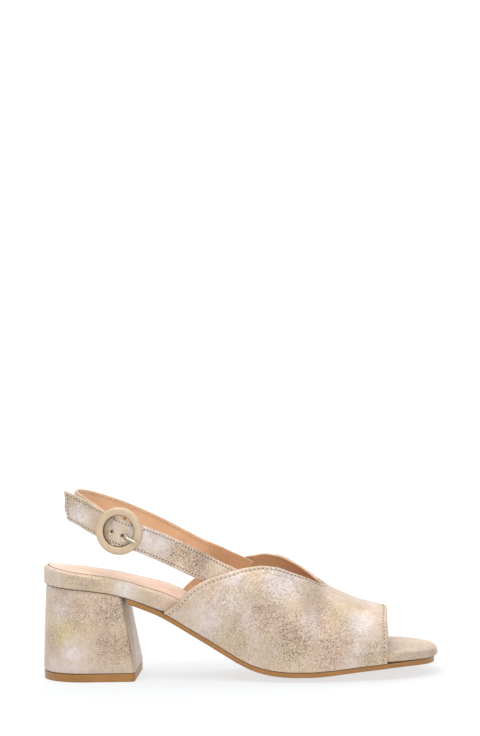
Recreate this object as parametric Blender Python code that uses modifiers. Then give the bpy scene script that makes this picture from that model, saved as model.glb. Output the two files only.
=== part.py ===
"""Slingback sandal on a covered block heel, with a V-throat peep-toe vamp and a round buckle.

A right shoe. Units are metres. X runs from the heel to the toe, +Y is the inner side of the foot and
Z is up from the floor. The pieces are modelled with X counted from the back of the footbed, and the
empty that carries them puts the world origin on the floor under the middle of the shoe.
"""

import math
from collections import namedtuple

import bmesh
import bpy
import numpy as np
from mathutils import Matrix, Vector

COLLECTION_NAME = "slingback_sandal"

# Footbed and sole
FOOTBED_LENGTH = 0.236
BALL_WIDTH = 0.0755
SEAT_WIDTH = 0.053
HEEL_PITCH = 0.051
TOE_SPRING = 0.0044
FOOTBED_THICKNESS = 0.0095
FOOTBED_EDGE_ROUND = 0.0024
PLATE_STATION_PITCH = 0.0083
PLATE_EDGE_BREAK = 0.0004
SEAT_INNER_DROP = 0.0014
OUTSOLE_THICKNESS = 0.0028
OUTSOLE_MARGIN = 0.0018
OUTSOLE_EDGE_LIFT = 0.0032
OUTSOLE_CROWN = 0.0036
OUTSOLE_CROWN_AWAY = 0.3
OUTSOLE_TOE_SETBACK = 0.002
OUTSOLE_BACK_SPARE = 0.004
OUTSOLE_FRONT_SPARE = 0.002
SOCK_THICKNESS = 0.001
SOCK_RIM = 0.0004
SOCK_LENGTH = 0.165

# Heel
HEEL_TOP_LENGTH = 0.0505
HEEL_BASE_LENGTH = 0.0572
HEEL_BACK_FLARE = 0.0014
HEEL_BREAST_SKEW = 0.0012
HEEL_BASE_WIDTH = 0.052
HEEL_TOP_INSET = 0.0012
HEEL_CORNER_RADIUS = 0.003
TOP_PIECE_THICKNESS = 0.005
TOP_PIECE_INSET = 0.0004

# Vamp
VAMP_WALL = 0.0018
INSTEP_RISE = 0.0745
LATERAL_BULGE = 0.0045
MEDIAL_BULGE = 0.0085

# Straps
STRAP_WIDTH = 0.0160
SLING_THICKNESS = 0.0014
BUCKLE_STRAP_THICKNESS = 0.0015
STRAP_EDGE_CHAMFER = 0.0003
STRAP_STATION_PITCH = 0.0028
SLING_NARROWER = 0.001
LOOP_WIDTH = 0.061
LOOP_RISE = 0.048
STRAP_END_SKEW = 0.0034
STRAP_SEWING_DEPTH = 0.0011

# Buckle
RING_DIAMETER = 0.0282
RING_BAND = 0.0049
RING_THICKNESS = 0.003
BAR_DIAMETER = 0.0018
BAR_DROP = 0.0042
PRONG_DIAMETER = 0.0016
PRONG_HOLE_WIDTH = 0.0023
PRONG_HOLE_LENGTH = 0.0044
PRONG_HOLE_PLACE = 0.0038
SPARE_HOLE_DIAMETER = 0.0016
SPARE_HOLE_PLACE = -0.0040
HOLE_ROW_DROP = 0.0019
PUNCH_DEPTH = 0.012
SLOT_SPARE_LENGTH = 0.0008
SLING_TUCK = 0.0001
BAR_BEND_OUTER = 0.0008
BAR_BEND_INNER = 0.0004

# Gap between pieces that touch on the real shoe
CLEARANCE = 0.0003

# Middle line of the prong past its eye: distance along the strap, and over the eye's top or, for the
# last three, under the level at which it rests on the rim
PRONG_OVER_EYE = [(0.0018, -0.0002), (0.0028, 0.0001), (0.0038, 0.0011), (0.0050, 0.0027)]
PRONG_TO_RIM = [(0.0064, -0.0008), (0.0082, -0.0002), (0.0124, 0.0)]

# Half widths of the footbed, before its ends are rounded: shares of half the seat or ball width
Outline = namedtuple("Outline", "along lateral medial")
OUTLINE = [
    Outline(0.00, 0.98, 0.98),
    Outline(0.15, 1.00, 1.00),
    Outline(0.25, 0.98, 0.94),
    Outline(0.34, 0.80, 0.69),
    Outline(0.45, 0.76, 0.53),
    Outline(0.53, 0.88, 0.65),
    Outline(0.61, 0.97, 0.87),
    Outline(0.67, 1.00, 0.98),
    Outline(0.73, 1.00, 1.01),
    Outline(0.80, 0.94, 0.97),
    Outline(0.87, 0.86, 0.90),
    Outline(0.93, 0.76, 0.83),
    Outline(1.00, 0.64, 0.72),
]
SEAT_TO_BALL_START = 0.22
SEAT_TO_BALL_END = 0.38
HEEL_ROUND = 0.024
TOE_ROUND = 0.030
TOE_SQUARENESS = 2.6

# Underside of the footbed: shares of the heel pitch and of the toe spring
Profile = namedtuple("Profile", "along pitch spring")
PROFILE = [
    Profile(0.000, 1.000, 0.0),
    Profile(0.085, 0.967, 0.0),
    Profile(0.170, 0.912, 0.0),
    Profile(0.212, 0.863, 0.0),
    Profile(0.254, 0.796, 0.0),
    Profile(0.297, 0.718, 0.0),
    Profile(0.339, 0.614, 0.0),
    Profile(0.381, 0.494, 0.0),
    Profile(0.424, 0.367, 0.0),
    Profile(0.466, 0.243, 0.0),
    Profile(0.508, 0.131, 0.0),
    Profile(0.551, 0.053, 0.0),
    Profile(0.593, 0.014, 0.0),
    Profile(0.636, 0.000, 0.0),
    Profile(0.678, 0.000, 0.0),
    Profile(0.720, 0.000, 0.14),
    Profile(0.763, 0.000, 0.34),
    Profile(0.805, 0.000, 0.55),
    Profile(0.850, 0.000, 0.73),
    Profile(0.890, 0.000, 0.89),
    Profile(0.932, 0.000, 0.98),
    Profile(1.000, 0.000, 1.00),
]

# Upright thickness of the footbed: shares of its named thickness
Bed = namedtuple("Bed", "along thickness")
BED = [
    Bed(0.00, 1.22),
    Bed(0.04, 1.12),
    Bed(0.08, 1.05),
    Bed(0.13, 1.00),
    Bed(0.19, 1.00),
    Bed(0.24, 1.05),
    Bed(0.29, 1.15),
    Bed(0.35, 1.32),
    Bed(0.42, 1.28),
    Bed(0.51, 1.10),
    Bed(0.60, 0.94),
    Bed(0.70, 0.86),
    Bed(0.80, 0.76),
    Bed(0.90, 0.64),
    Bed(1.00, 0.50),
]

# How far the outsole stands out past the footbed's edge: shares of its margin
Margin = namedtuple("Margin", "along share")
MARGIN = [
    Margin(0.20, -0.30),
    Margin(0.29, 0.10),
    Margin(0.33, 0.95),
    Margin(0.60, 1.00),
    Margin(0.85, 1.00),
    Margin(0.90, 0.45),
    Margin(1.00, 0.00),
]

# Last over the footbed: crest height over the feather line as shares of the instep rise, and how far
# the walls swell past the feather line as shares of the two bulges
Last = namedtuple("Last", "along crest lateral medial squareness")
LAST = [
    Last(0.31, 0.79, 1.00, 0.62, 2.2),
    Last(0.38, 0.89, 0.95, 0.85, 2.2),
    Last(0.45, 0.95, 0.85, 1.00, 2.2),
    Last(0.51, 1.00, 0.55, 0.65, 2.2),
    Last(0.55, 1.00, 0.42, 0.48, 2.2),
    Last(0.593, 0.96, 0.33, 0.30, 2.2),
    Last(0.636, 0.866, 0.30, 0.22, 2.2),
    Last(0.678, 0.745, 0.27, 0.18, 2.2),
    Last(0.720, 0.617, 0.26, 0.15, 2.25),
    Last(0.763, 0.534, 0.25, 0.14, 2.3),
    Last(0.805, 0.467, 0.23, 0.13, 2.4),
    Last(0.850, 0.416, 0.22, 0.12, 2.5),
    Last(0.890, 0.373, 0.22, 0.12, 2.5),
]
BULGE_HEIGHT_SHARE = 0.5

# Cut edges of the vamp: share of the way from the feather line to the crest, and share of the length
Edge = namedtuple("Edge", "around along")
LATERAL_BACK_EDGE = [
    Edge(0.000, 0.312),
    Edge(0.040, 0.328),
    Edge(0.084, 0.344),
    Edge(0.192, 0.375),
    Edge(0.286, 0.4085),
    Edge(0.368, 0.4445),
    Edge(0.448, 0.487),
    Edge(0.524, 0.525),
    Edge(0.564, 0.550),
    Edge(0.600, 0.580),
    Edge(0.663, 0.628),
    Edge(0.785, 0.681),
    Edge(0.890, 0.7075),
    Edge(1.000, 0.7195),
]
MEDIAL_BACK_EDGE = [
    Edge(0.000, 0.322),
    Edge(0.105, 0.350),
    Edge(0.182, 0.374),
    Edge(0.286, 0.415),
    Edge(0.380, 0.455),
    Edge(0.455, 0.485),
    Edge(0.513, 0.508),
    Edge(0.620, 0.563),
    Edge(0.704, 0.616),
    Edge(0.784, 0.657),
    Edge(0.857, 0.688),
    Edge(0.930, 0.708),
    Edge(1.000, 0.7195),
]
LATERAL_TOE_EDGE = [
    Edge(0.00, 0.869),
    Edge(0.30, 0.873),
    Edge(0.60, 0.872),
    Edge(1.00, 0.8745),
]
MEDIAL_TOE_EDGE = [
    Edge(0.00, 0.872),
    Edge(0.30, 0.873),
    Edge(0.60, 0.871),
    Edge(1.00, 0.8745),
]

# Middle line of the straps, from the inner side round the heel to the outer side: shares of the
# footbed's length, of half the loop's width and of the loop's rise over the heel seat
Waypoint = namedtuple("Waypoint", "along across rise")
SLING_ROUTE = [
    Waypoint(0.400, 0.745, 0.306),
    Waypoint(0.356, 0.84, 0.406),
    Waypoint(0.284, 0.93, 0.586),
    Waypoint(0.208, 0.92, 0.760),
    Waypoint(0.144, 0.76, 0.890),
    Waypoint(0.104, 0.46, 0.970),
    Waypoint(0.086, 0.00, 1.000),
    Waypoint(0.104, -0.47, 0.955),
    Waypoint(0.144, -0.80, 0.850),
]
RING_PLACE = Waypoint(0.209, -1.00, 0.700)
STRAP_BEHIND_RING = Waypoint(0.150, -0.90, 0.822)
STRAP_BEFORE_RING = Waypoint(0.262, -1.04, 0.602)
BUCKLE_STRAP_TAIL = [
    Waypoint(0.0680, -0.60, 0.997),
    Waypoint(0.0990, -0.76, 0.940),
]
BUCKLE_STRAP_ROUTE = [
    Waypoint(0.322, -0.985, 0.456),
    Waypoint(0.383, -0.91, 0.298),
]
# How much of a sewn end's lean the strap still has at the free places next to it
SEWN_LEAN_FADE = (0.48, 0.20, 0.05)

# Where the strap ends lie on the vamp's lining: share of the length, and share from feather to crest
SewnEnd = namedtuple("SewnEnd", "along around")
LATERAL_SEWN_END = [
    SewnEnd(0.425, 0.405),
    SewnEnd(0.445, 0.395),
    SewnEnd(0.478, 0.388),
    SewnEnd(0.510, 0.380),
]
MEDIAL_SEWN_END = [
    SewnEnd(0.520, 0.430),
    SewnEnd(0.487, 0.440),
    SewnEnd(0.452, 0.452),
    SewnEnd(0.428, 0.460),
]


def smooth_curve(rows, key, value):
    """Monotone cubic through a table's rows, held level past its ends."""
    xs = np.array([getattr(row, key) for row in rows])
    ys = np.array([getattr(row, value) for row in rows])
    steps = np.diff(xs)
    slopes = np.diff(ys) / steps
    tangents = np.zeros(len(xs))
    tangents[0] = slopes[0]
    tangents[-1] = slopes[-1]
    for i in range(1, len(xs) - 1):
        if slopes[i - 1] * slopes[i] > 0:
            before = 2 * steps[i] + steps[i - 1]
            after = steps[i] + 2 * steps[i - 1]
            tangents[i] = (before + after) / (before / slopes[i - 1] + after / slopes[i])

    def curve(x):
        x = min(max(x, xs[0]), xs[-1])
        i = min(int(np.searchsorted(xs, x, side="right")) - 1, len(xs) - 2)
        t = (x - xs[i]) / steps[i]
        start = (1 + 2 * t) * (1 - t) ** 2 * ys[i] + t * (1 - t) ** 2 * steps[i] * tangents[i]
        end = t * t * (3 - 2 * t) * ys[i + 1] + t * t * (t - 1) * steps[i] * tangents[i + 1]
        return float(start + end)

    return curve


outline_share = {
    -1: smooth_curve(OUTLINE, "along", "lateral"),
    1: smooth_curve(OUTLINE, "along", "medial"),
}
pitch_share = smooth_curve(PROFILE, "along", "pitch")
spring_share = smooth_curve(PROFILE, "along", "spring")
bed_share = smooth_curve(BED, "along", "thickness")
margin_share = smooth_curve(MARGIN, "along", "share")
crest_share = smooth_curve(LAST, "along", "crest")
squareness = smooth_curve(LAST, "along", "squareness")
bulge_share = {
    -1: smooth_curve(LAST, "along", "lateral"),
    1: smooth_curve(LAST, "along", "medial"),
}
back_edge = {
    -1: smooth_curve(LATERAL_BACK_EDGE, "around", "along"),
    1: smooth_curve(MEDIAL_BACK_EDGE, "around", "along"),
}
toe_edge = {
    -1: smooth_curve(LATERAL_TOE_EDGE, "around", "along"),
    1: smooth_curve(MEDIAL_TOE_EDGE, "around", "along"),
}


def ease(t):
    """Smooth step from 0 to 1."""
    t = min(max(t, 0.0), 1.0)
    return t * t * (3 - 2 * t)


def feather_height(x):
    """Height of the footbed's underside over the floor."""
    along = x / FOOTBED_LENGTH
    ball = OUTSOLE_EDGE_LIFT + OUTSOLE_THICKNESS + CLEARANCE
    return ball + HEEL_PITCH * pitch_share(along) + TOE_SPRING * spring_share(along)


def slope_factor(curve, x):
    """Length of a curve for a unit step along X, which turns a square thickness into an upright one."""
    step = 0.001
    rise = (curve(x + step) - curve(x - step)) / (2 * step)
    return math.sqrt(1 + rise * rise)


def straight_half_width(x, side):
    """Half width of the footbed on one side, before the rounding of its ends."""
    along = x / FOOTBED_LENGTH
    to_ball = ease((along - SEAT_TO_BALL_START) / (SEAT_TO_BALL_END - SEAT_TO_BALL_START))
    half = (SEAT_WIDTH + (BALL_WIDTH - SEAT_WIDTH) * to_ball) / 2
    return half * outline_share[side](along)


def half_width(x, side, tip=FOOTBED_LENGTH):
    """Half width of the footbed on one side, with a round heel and a soft square toe."""
    width = straight_half_width(x, side)
    from_tip = max(tip - x, 0.0)
    if x < HEEL_ROUND:
        width *= math.sqrt(max(1 - ((HEEL_ROUND - x) / HEEL_ROUND) ** 2, 0))
    if from_tip < TOE_ROUND:
        share = (TOE_ROUND - from_tip) / TOE_ROUND
        width *= max(1 - share ** TOE_SQUARENESS, 0) ** (1 / TOE_SQUARENESS)
    return width


def footbed_top(x, y):
    """Height of the footbed's upper face, a little lower along the inner side of the heel seat."""
    along = x / FOOTBED_LENGTH
    level = feather_height(x) + FOOTBED_THICKNESS * bed_share(along)
    seat = 1 - ease((along - 0.18) / 0.20)
    return level - SEAT_INNER_DROP * seat * ease(y / straight_half_width(x, 1))


def sock_seat(x, y):
    """Bottom of the shallow recess that the sock fills, which runs out under the vamp."""
    depth = SOCK_THICKNESS + CLEARANCE
    fade = 1 - ease((x - SOCK_LENGTH - CLEARANCE) / (2 * PLATE_STATION_PITCH))
    return footbed_top(x, y) - depth * fade


def outsole_top(x):
    return feather_height(x) - CLEARANCE


def outsole_bottom(x, y):
    """Crowned underside of the outsole, cut flat where it would pass through the floor."""
    side = -1 if y < 0 else 1
    edge = outsole_top(x) - OUTSOLE_THICKNESS * slope_factor(feather_height, x)
    half = straight_half_width(x, side) + OUTSOLE_MARGIN
    along = x / FOOTBED_LENGTH
    at_ball = ease((along - 0.40) / 0.18) * (1 - ease((along - 0.70) / 0.18))
    crown = OUTSOLE_CROWN * (OUTSOLE_CROWN_AWAY + (1 - OUTSOLE_CROWN_AWAY) * at_ball)
    across = min(abs(y) / half, 1)
    return max(edge - crown * (1 - across ** 2.5), 0.0)


def wall_offset(x, side, distance):
    """Distance across the shoe that moves the footbed's outline out by a distance square to it."""
    step = 0.001
    run = (straight_half_width(x + step, side) - straight_half_width(x - step, side)) / (2 * step)
    return distance * math.sqrt(1 + run * run)


def last_point(along, around, side):
    """Point of the vamp's outer face: share of the length, share from the feather line to the crest."""
    x = along * FOOTBED_LENGTH
    angle = math.pi / 2 * around
    up = math.sin(angle)
    inward = max(math.cos(angle), 0.0)
    power = 2 / squareness(along)
    bulge = (LATERAL_BULGE if side < 0 else MEDIAL_BULGE) * bulge_share[side](along)
    swell = 1 - (1 - min(up / BULGE_HEIGHT_SHARE, 1)) ** 2
    half = straight_half_width(x, side) + wall_offset(x, side, VAMP_WALL + CLEARANCE) + bulge * swell
    y = side * half * inward ** power
    z = feather_height(x) + INSTEP_RISE * crest_share(along) * up ** power
    return Vector((x, y, z))


# The collection, and the empty that centres the shoe on the origin
for old in list(bpy.data.objects):
    bpy.data.objects.remove(old, do_unlink=True)

shoe = bpy.data.collections.new(COLLECTION_NAME)
bpy.context.scene.collection.children.link(shoe)
cutters = bpy.data.collections.new("cutters")
bpy.context.scene.collection.children.link(cutters)

carrier = bpy.data.objects.new("shoe_origin", None)
carrier.location = (-(FOOTBED_LENGTH - HEEL_BACK_FLARE) / 2, 0, 0)
shoe.objects.link(carrier)
bpy.context.view_layer.update()


def material(name, colour, roughness, metallic=0.0):
    mat = bpy.data.materials.new(name)
    mat.use_nodes = True
    shader = mat.node_tree.nodes["Principled BSDF"]
    shader.inputs["Base Color"].default_value = (*colour, 1)
    shader.inputs["Roughness"].default_value = roughness
    shader.inputs["Metallic"].default_value = metallic
    return mat


def add_piece(name, bm, mat, matrix=None):
    """Put a bmesh in the shoe's collection as one named piece."""
    mesh = bpy.data.meshes.new(name)
    bmesh.ops.recalc_face_normals(bm, faces=bm.faces)
    bm.to_mesh(mesh)
    bm.free()
    mesh.shade_smooth()
    mesh.set_sharp_from_angle(angle=math.radians(40))
    mesh.materials.append(mat)
    piece = bpy.data.objects.new(name, mesh)
    if matrix is not None:
        piece.matrix_local = matrix
    piece.parent = carrier
    shoe.objects.link(piece)
    return piece


def add_cutter(name, bm, matrix):
    mesh = bpy.data.meshes.new(name)
    bmesh.ops.recalc_face_normals(bm, faces=bm.faces)
    bm.to_mesh(mesh)
    bm.free()
    cutter = bpy.data.objects.new(name, mesh)
    cutter.matrix_local = matrix
    cutter.parent = carrier
    cutter.hide_render = True
    cutter.display_type = "WIRE"
    cutters.objects.link(cutter)
    return cutter


def cut(piece, cutter, operation="DIFFERENCE"):
    modifier = piece.modifiers.new(cutter.name, "BOOLEAN")
    modifier.operation = operation
    modifier.solver = "EXACT"
    modifier.object = cutter


def loft_rings(bm, rings):
    """Join closed rings of equal counts by quads, and return the rings' vertices."""
    loops = [[bm.verts.new(point) for point in ring] for ring in rings]
    for lower, upper in zip(loops, loops[1:]):
        for i in range(len(lower)):
            j = (i + 1) % len(lower)
            bm.faces.new((lower[i], lower[j], upper[j], upper[i]))
    return loops


def rung_cap(bm, loop, columns, height):
    """Close a plan ring by rungs across it, with points between their ends set to a height."""
    across = columns - 1
    count = len(loop) // 2 - across
    front = loop[count : count + across]
    back = loop[len(loop) - across :]
    rungs = []
    for i in range(count):
        start = loop[i]
        end = loop[2 * count + across - 1 - i]
        if i == 0:
            inner = list(reversed(back))
        elif i == count - 1:
            inner = front
        else:
            inner = []
            for k in range(1, columns):
                place = start.co.lerp(end.co, k / columns)
                if height is not None:
                    place.z = height(place.x, place.y)
                inner.append(bm.verts.new(place))
        rungs.append([start, *inner, end])
    for here, there in zip(rungs, rungs[1:]):
        for k in range(columns):
            bm.faces.new((here[k], here[k + 1], there[k + 1], there[k]))


def stations(back, tip, round_back, round_tip, pitch, steps=6):
    """Places along a plate: even in its middle and closer where its ends are rounded."""
    places = []
    if round_back:
        angles = [math.radians(10) + (math.pi / 2 - math.radians(10)) * k / steps for k in range(steps)]
        places += [back + round_back * (1 - math.cos(angle)) for angle in angles]
    start = back + round_back
    end = tip - round_tip
    count = max(round((end - start) / pitch), 1)
    places += [start + (end - start) * k / count for k in range(count + 1)]
    if round_tip:
        angles = [math.pi / 2 * (1 - k / steps) for k in range(1, steps)] + [math.radians(5)]
        places += [tip - round_tip * (1 - math.cos(angle)) for angle in angles]
    return places


FOOTBED_STATIONS = stations(0, FOOTBED_LENGTH, HEEL_ROUND, TOE_ROUND, PLATE_STATION_PITCH)


def plan_ring(places, width, columns):
    """Closed plan outline: outer side to the front, across the toe, inner side back, across the heel."""
    lateral = [Vector((x, -width(x, -1), 0)) for x in places]
    medial = [Vector((x, width(x, 1), 0)) for x in reversed(places)]
    front = [lateral[-1].lerp(medial[0], k / columns) for k in range(1, columns)]
    back = [medial[-1].lerp(lateral[0], k / columns) for k in range(1, columns)]
    return [*lateral, *front, *medial, *back]


def inset_ring(ring, inset, height):
    """The ring moved inwards by a distance, mitred at corners, at the heights that a function gives."""
    moved = []
    for i, point in enumerate(ring):
        before = point - ring[i - 1]
        after = ring[(i + 1) % len(ring)] - point
        inward = Vector((-before.y, before.x, 0)).normalized()
        onward = Vector((-after.y, after.x, 0)).normalized()
        place = point + (inward + onward) * inset / (1 + inward.dot(onward))
        place.z = height(place.x, place.y)
        moved.append(place)
    return moved


def plate(name, outline, layers, columns, top, bottom, mat):
    """A plate from the rings of its side wall, closed above and below by rungs."""
    bm = bmesh.new()
    loops = loft_rings(bm, [inset_ring(outline, inset, height) for inset, height in layers])
    rung_cap(bm, loops[0], columns, bottom)
    rung_cap(bm, loops[-1], columns, top)
    return add_piece(name, bm, mat)


LEATHER = material("metallic_leather", (0.66, 0.53, 0.40), 0.42, 0.35)
LEATHER_SIDE = material("metallic_leather_strap", (0.66, 0.53, 0.42), 0.42, 0.35)
WRAP = material("metallic_leather_wrap", (0.64, 0.52, 0.39), 0.42, 0.35)
SOCK = material("sock_leather", (0.92, 0.70, 0.54), 0.55)
SOLE_EDGE = material("sole_leather", (0.56, 0.32, 0.11), 0.5)
TIP = material("heel_tip", (0.43, 0.21, 0.07), 0.5)
METAL = material("pale_gold_metal", (0.72, 0.60, 0.42), 0.35, 0.8)


def build_outsole():
    tip = FOOTBED_LENGTH - OUTSOLE_TOE_SETBACK
    back = HEEL_TOP_LENGTH + 4 * CLEARANCE

    def width(x, side):
        margin = OUTSOLE_MARGIN * margin_share(x / FOOTBED_LENGTH)
        return half_width(x, side, tip) + wall_offset(x, side, margin)

    rounded = stations(back, tip, 0, TOE_ROUND, PLATE_STATION_PITCH)
    first = back + OUTSOLE_BACK_SPARE
    last = tip - TOE_ROUND - OUTSOLE_FRONT_SPARE
    straight = [x for x in FOOTBED_STATIONS if first < x < last]
    places = [back, *straight, *[x for x in rounded if x >= tip - TOE_ROUND]]
    edge = PLATE_EDGE_BREAK
    layers = [
        (edge, outsole_bottom),
        (0, lambda x, y: outsole_bottom(x, y) + edge),
        (0, lambda x, y: outsole_top(x) - edge),
        (edge, lambda x, y: outsole_top(x)),
    ]
    outline = plan_ring(places, width, 8)
    return plate("outsole", outline, layers, 8, None, outsole_bottom, SOLE_EDGE)


def build_footbed():
    places = FOOTBED_STATIONS
    radius = FOOTBED_EDGE_ROUND
    layers = [
        (radius * 0.35, lambda x, y: feather_height(x)),
        (0, lambda x, y: feather_height(x) + radius * 0.35),
        (0, lambda x, y: footbed_top(x, y) - radius),
    ]
    for degrees in (35, 65, 90):
        angle = math.radians(degrees)
        inset = radius * (1 - math.cos(angle))
        drop = radius * (1 - math.sin(angle))
        layers.append((inset, lambda x, y, drop=drop: footbed_top(x, y) - drop))
    layers.append((radius + SOCK_RIM, sock_seat))
    return plate("footbed", plan_ring(places, half_width, 4), layers, 4, sock_seat, None, WRAP)


def build_insole():
    def base(x, y):
        return sock_seat(min(x, SOCK_LENGTH), y) + CLEARANCE

    def top(x, y):
        return base(x, y) + SOCK_THICKNESS

    def width(x, side):
        return half_width(x, side, 2 * FOOTBED_LENGTH)

    places = [x for x in FOOTBED_STATIONS if x <= SOCK_LENGTH]
    inset = FOOTBED_EDGE_ROUND + SOCK_RIM + CLEARANCE
    places[-1] += inset
    layers = [(inset, base), (inset, top)]
    return plate("insole", plan_ring(places, width, 4), layers, 4, top, base, SOCK)


def heel_plan(inset, back, front, width, corner, skew):
    """D-shaped plan of the heel: the seat's outline at a length and width, with round breast corners."""
    narrow = (width / 2 - inset) / (SEAT_WIDTH / 2)
    places = stations(0, HEEL_TOP_LENGTH, HEEL_ROUND, 0, PLATE_STATION_PITCH)
    walls = {}
    for side in (-1, 1):
        length = front - back - inset + skew * (side + 1) / 2
        walls[side] = []
        for x in places:
            along = back + inset + length * x / HEEL_TOP_LENGTH
            across = side * narrow * half_width(x, side, 2 * FOOTBED_LENGTH)
            walls[side].append(Vector((along, across, 0)))
    lateral = walls[-1]
    medial = walls[1][::-1]
    corner_points = []
    for side, end in ((-1, lateral[-1]), (1, medial[0])):
        arc = []
        for k in range(1, 4):
            angle = math.pi / 2 * k / 3
            x = end.x - corner + corner * math.sin(angle)
            y = abs(end.y) - corner + corner * math.cos(angle)
            arc.append(Vector((x, side * y, 0)))
        corner_points.append(arc)
    lateral[-1].x -= corner
    medial[0].x -= corner
    return lateral + corner_points[0] + list(reversed(corner_points[1])) + medial


def heel_ring(share, top_length, base_length):
    """Plan of the heel at a share of its height from the floor."""
    back = -HEEL_BACK_FLARE * (1 - share) ** 0.8
    front = base_length + (top_length - base_length) * share - HEEL_BACK_FLARE
    width = HEEL_BASE_WIDTH + (SEAT_WIDTH - HEEL_BASE_WIDTH) * share
    inset = HEEL_TOP_INSET * share
    return heel_plan(inset, back, front, width, HEEL_CORNER_RADIUS, HEEL_BREAST_SKEW * (1 - share))


def build_heel():
    base = TOP_PIECE_THICKNESS + CLEARANCE
    levels = (0.0, 0.25, 0.5, 0.75, 1.0)
    rings = []
    for level in levels:
        ring = []
        for point in heel_ring(level, HEEL_TOP_LENGTH + HEEL_BACK_FLARE, HEEL_BASE_LENGTH):
            top = feather_height(point.x) - CLEARANCE
            ring.append(Vector((point.x, point.y, base + (top - base) * level)))
        rings.append(ring)
    bm = bmesh.new()
    loops = loft_rings(bm, rings)
    rung_cap(bm, loops[0], 1, None)
    rung_cap(bm, loops[-1], 1, None)
    return add_piece("heel", bm, LEATHER)


def build_top_piece():
    outline = heel_ring(0.0, HEEL_TOP_LENGTH + HEEL_BACK_FLARE, HEEL_BASE_LENGTH)
    edge = PLATE_EDGE_BREAK
    layers = [
        (TOP_PIECE_INSET + edge, lambda x, y: 0.0),
        (TOP_PIECE_INSET, lambda x, y: edge),
        (TOP_PIECE_INSET, lambda x, y: TOP_PIECE_THICKNESS),
    ]
    return plate("heel_top_piece", outline, layers, 1, None, None, TIP)


def build_upper():
    """The vamp: an open sheet on the last, from its swept back edge to the peep toe, given its wall."""
    columns = 30
    rows = 22
    bm = bmesh.new()
    grid = []
    for j in range(columns + 1):
        share = 2 * j / columns
        side = -1 if share <= 1 else 1
        around = share if side < 0 else 2 - share
        start = back_edge[side](around)
        end = toe_edge[side](around)
        strip = [last_point(start + (end - start) * i / rows, around, side) for i in range(rows + 1)]
        grid.append([bm.verts.new(point) for point in strip])
    for left, right in zip(grid, grid[1:]):
        for i in range(rows):
            bm.faces.new((left[i], left[i + 1], right[i + 1], right[i]))
    upper = add_piece("upper", bm, LEATHER)
    wall = upper.modifiers.new("wall", "SOLIDIFY")
    wall.thickness = VAMP_WALL
    wall.offset = -1
    return upper


def spline(points, step):
    """Centripetal curve through points that are pairs of place and up direction, sampled by length."""
    places = [place for place, _ in points]
    first = places[0] * 2 - places[1]
    last = places[-1] * 2 - places[-2]
    padded = [first, *places, last]
    samples = []
    for i in range(len(places) - 1):
        a, b, c, d = padded[i : i + 4]
        knots = [0.0]
        for near, far in ((a, b), (b, c), (c, d)):
            knots.append(knots[-1] + math.sqrt((far - near).length))
        count = max(math.ceil((c - b).length / step), 1)
        for k in range(count):
            t = knots[1] + (knots[2] - knots[1]) * k / count
            ab = (a * (knots[1] - t) + b * (t - knots[0])) / (knots[1] - knots[0])
            bc = (b * (knots[2] - t) + c * (t - knots[1])) / (knots[2] - knots[1])
            cd = (c * (knots[3] - t) + d * (t - knots[2])) / (knots[3] - knots[2])
            abc = (ab * (knots[2] - t) + bc * (t - knots[0])) / (knots[2] - knots[0])
            bcd = (bc * (knots[3] - t) + cd * (t - knots[1])) / (knots[3] - knots[1])
            place = (abc * (knots[2] - t) + bcd * (t - knots[1])) / (knots[2] - knots[1])
            samples.append((place, points[i][1].lerp(points[i + 1][1], k / count)))
    samples.append(points[-1])
    return samples


def build_strap(name, route, width, thickness, mat, skew=0.0):
    """A flat strap along a route, its edges chamfered; the first end can be cut on the skew."""
    samples = spline(route, STRAP_STATION_PITCH)
    half = width / 2
    side = thickness / 2
    chamfer = STRAP_EDGE_CHAMFER
    section = [
        (half, side - chamfer),
        (half, chamfer - side),
        (half - chamfer, -side),
        (chamfer - half, -side),
        (-half, chamfer - side),
        (-half, side - chamfer),
        (chamfer - half, side),
        (half - chamfer, side),
    ]
    rings = []
    for i, (place, up) in enumerate(samples):
        after = samples[min(i + 1, len(samples) - 1)][0]
        before = samples[max(i - 1, 0)][0]
        tangent = (after - before).normalized()
        outward = tangent.cross(up).normalized()
        upright = outward.cross(tangent)
        lean = -skew * tangent if i == 0 else Vector()
        rings.append([place + upright * a + outward * b + lean * (a / half) for a, b in section])
    bm = bmesh.new()
    loops = loft_rings(bm, rings)
    bm.faces.new(loops[0])
    bm.faces.new(loops[-1])
    return add_piece(name, bm, mat)


def loop_place(waypoint):
    """Point of the ankle loop from its shares."""
    x = waypoint.along * FOOTBED_LENGTH
    y = waypoint.across * LOOP_WIDTH / 2
    z = feather_height(0) + waypoint.rise * LOOP_RISE
    return Vector((x, y, z))


def with_up(places):
    """Pair each place of a free route with the direction of the strap's upper edge."""
    pairs = []
    for i, place in enumerate(places):
        after = places[min(i + 1, len(places) - 1)]
        before = places[max(i - 1, 0)]
        tangent = (after - before).normalized()
        up = Vector((0, 0, 1))
        pairs.append((place, (up - tangent * up.dot(tangent)).normalized()))
    return pairs


def sewn_places(ends, side, thickness):
    """Places of a strap's end on the inside of the vamp, with the vamp's own lean."""
    pairs = []
    for end in ends:
        step = 0.01
        here = last_point(end.along, end.around, side)
        round_the_foot = last_point(end.along, end.around + step, side) - here
        forward = last_point(end.along + step, end.around, side) - here
        outward = forward.cross(round_the_foot).normalized() * (-side)
        depth = VAMP_WALL + CLEARANCE + STRAP_SEWING_DEPTH + thickness / 2
        pairs.append((here - outward * depth, round_the_foot.normalized()))
    return pairs


def eased_lean(free, lean):
    """Turn the first places of a free route gradually out of a sewn end's lean."""
    eased = [(place, up.lerp(lean, share)) for (place, up), share in zip(free, SEWN_LEAN_FADE)]
    return eased + free[len(eased) :]


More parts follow.
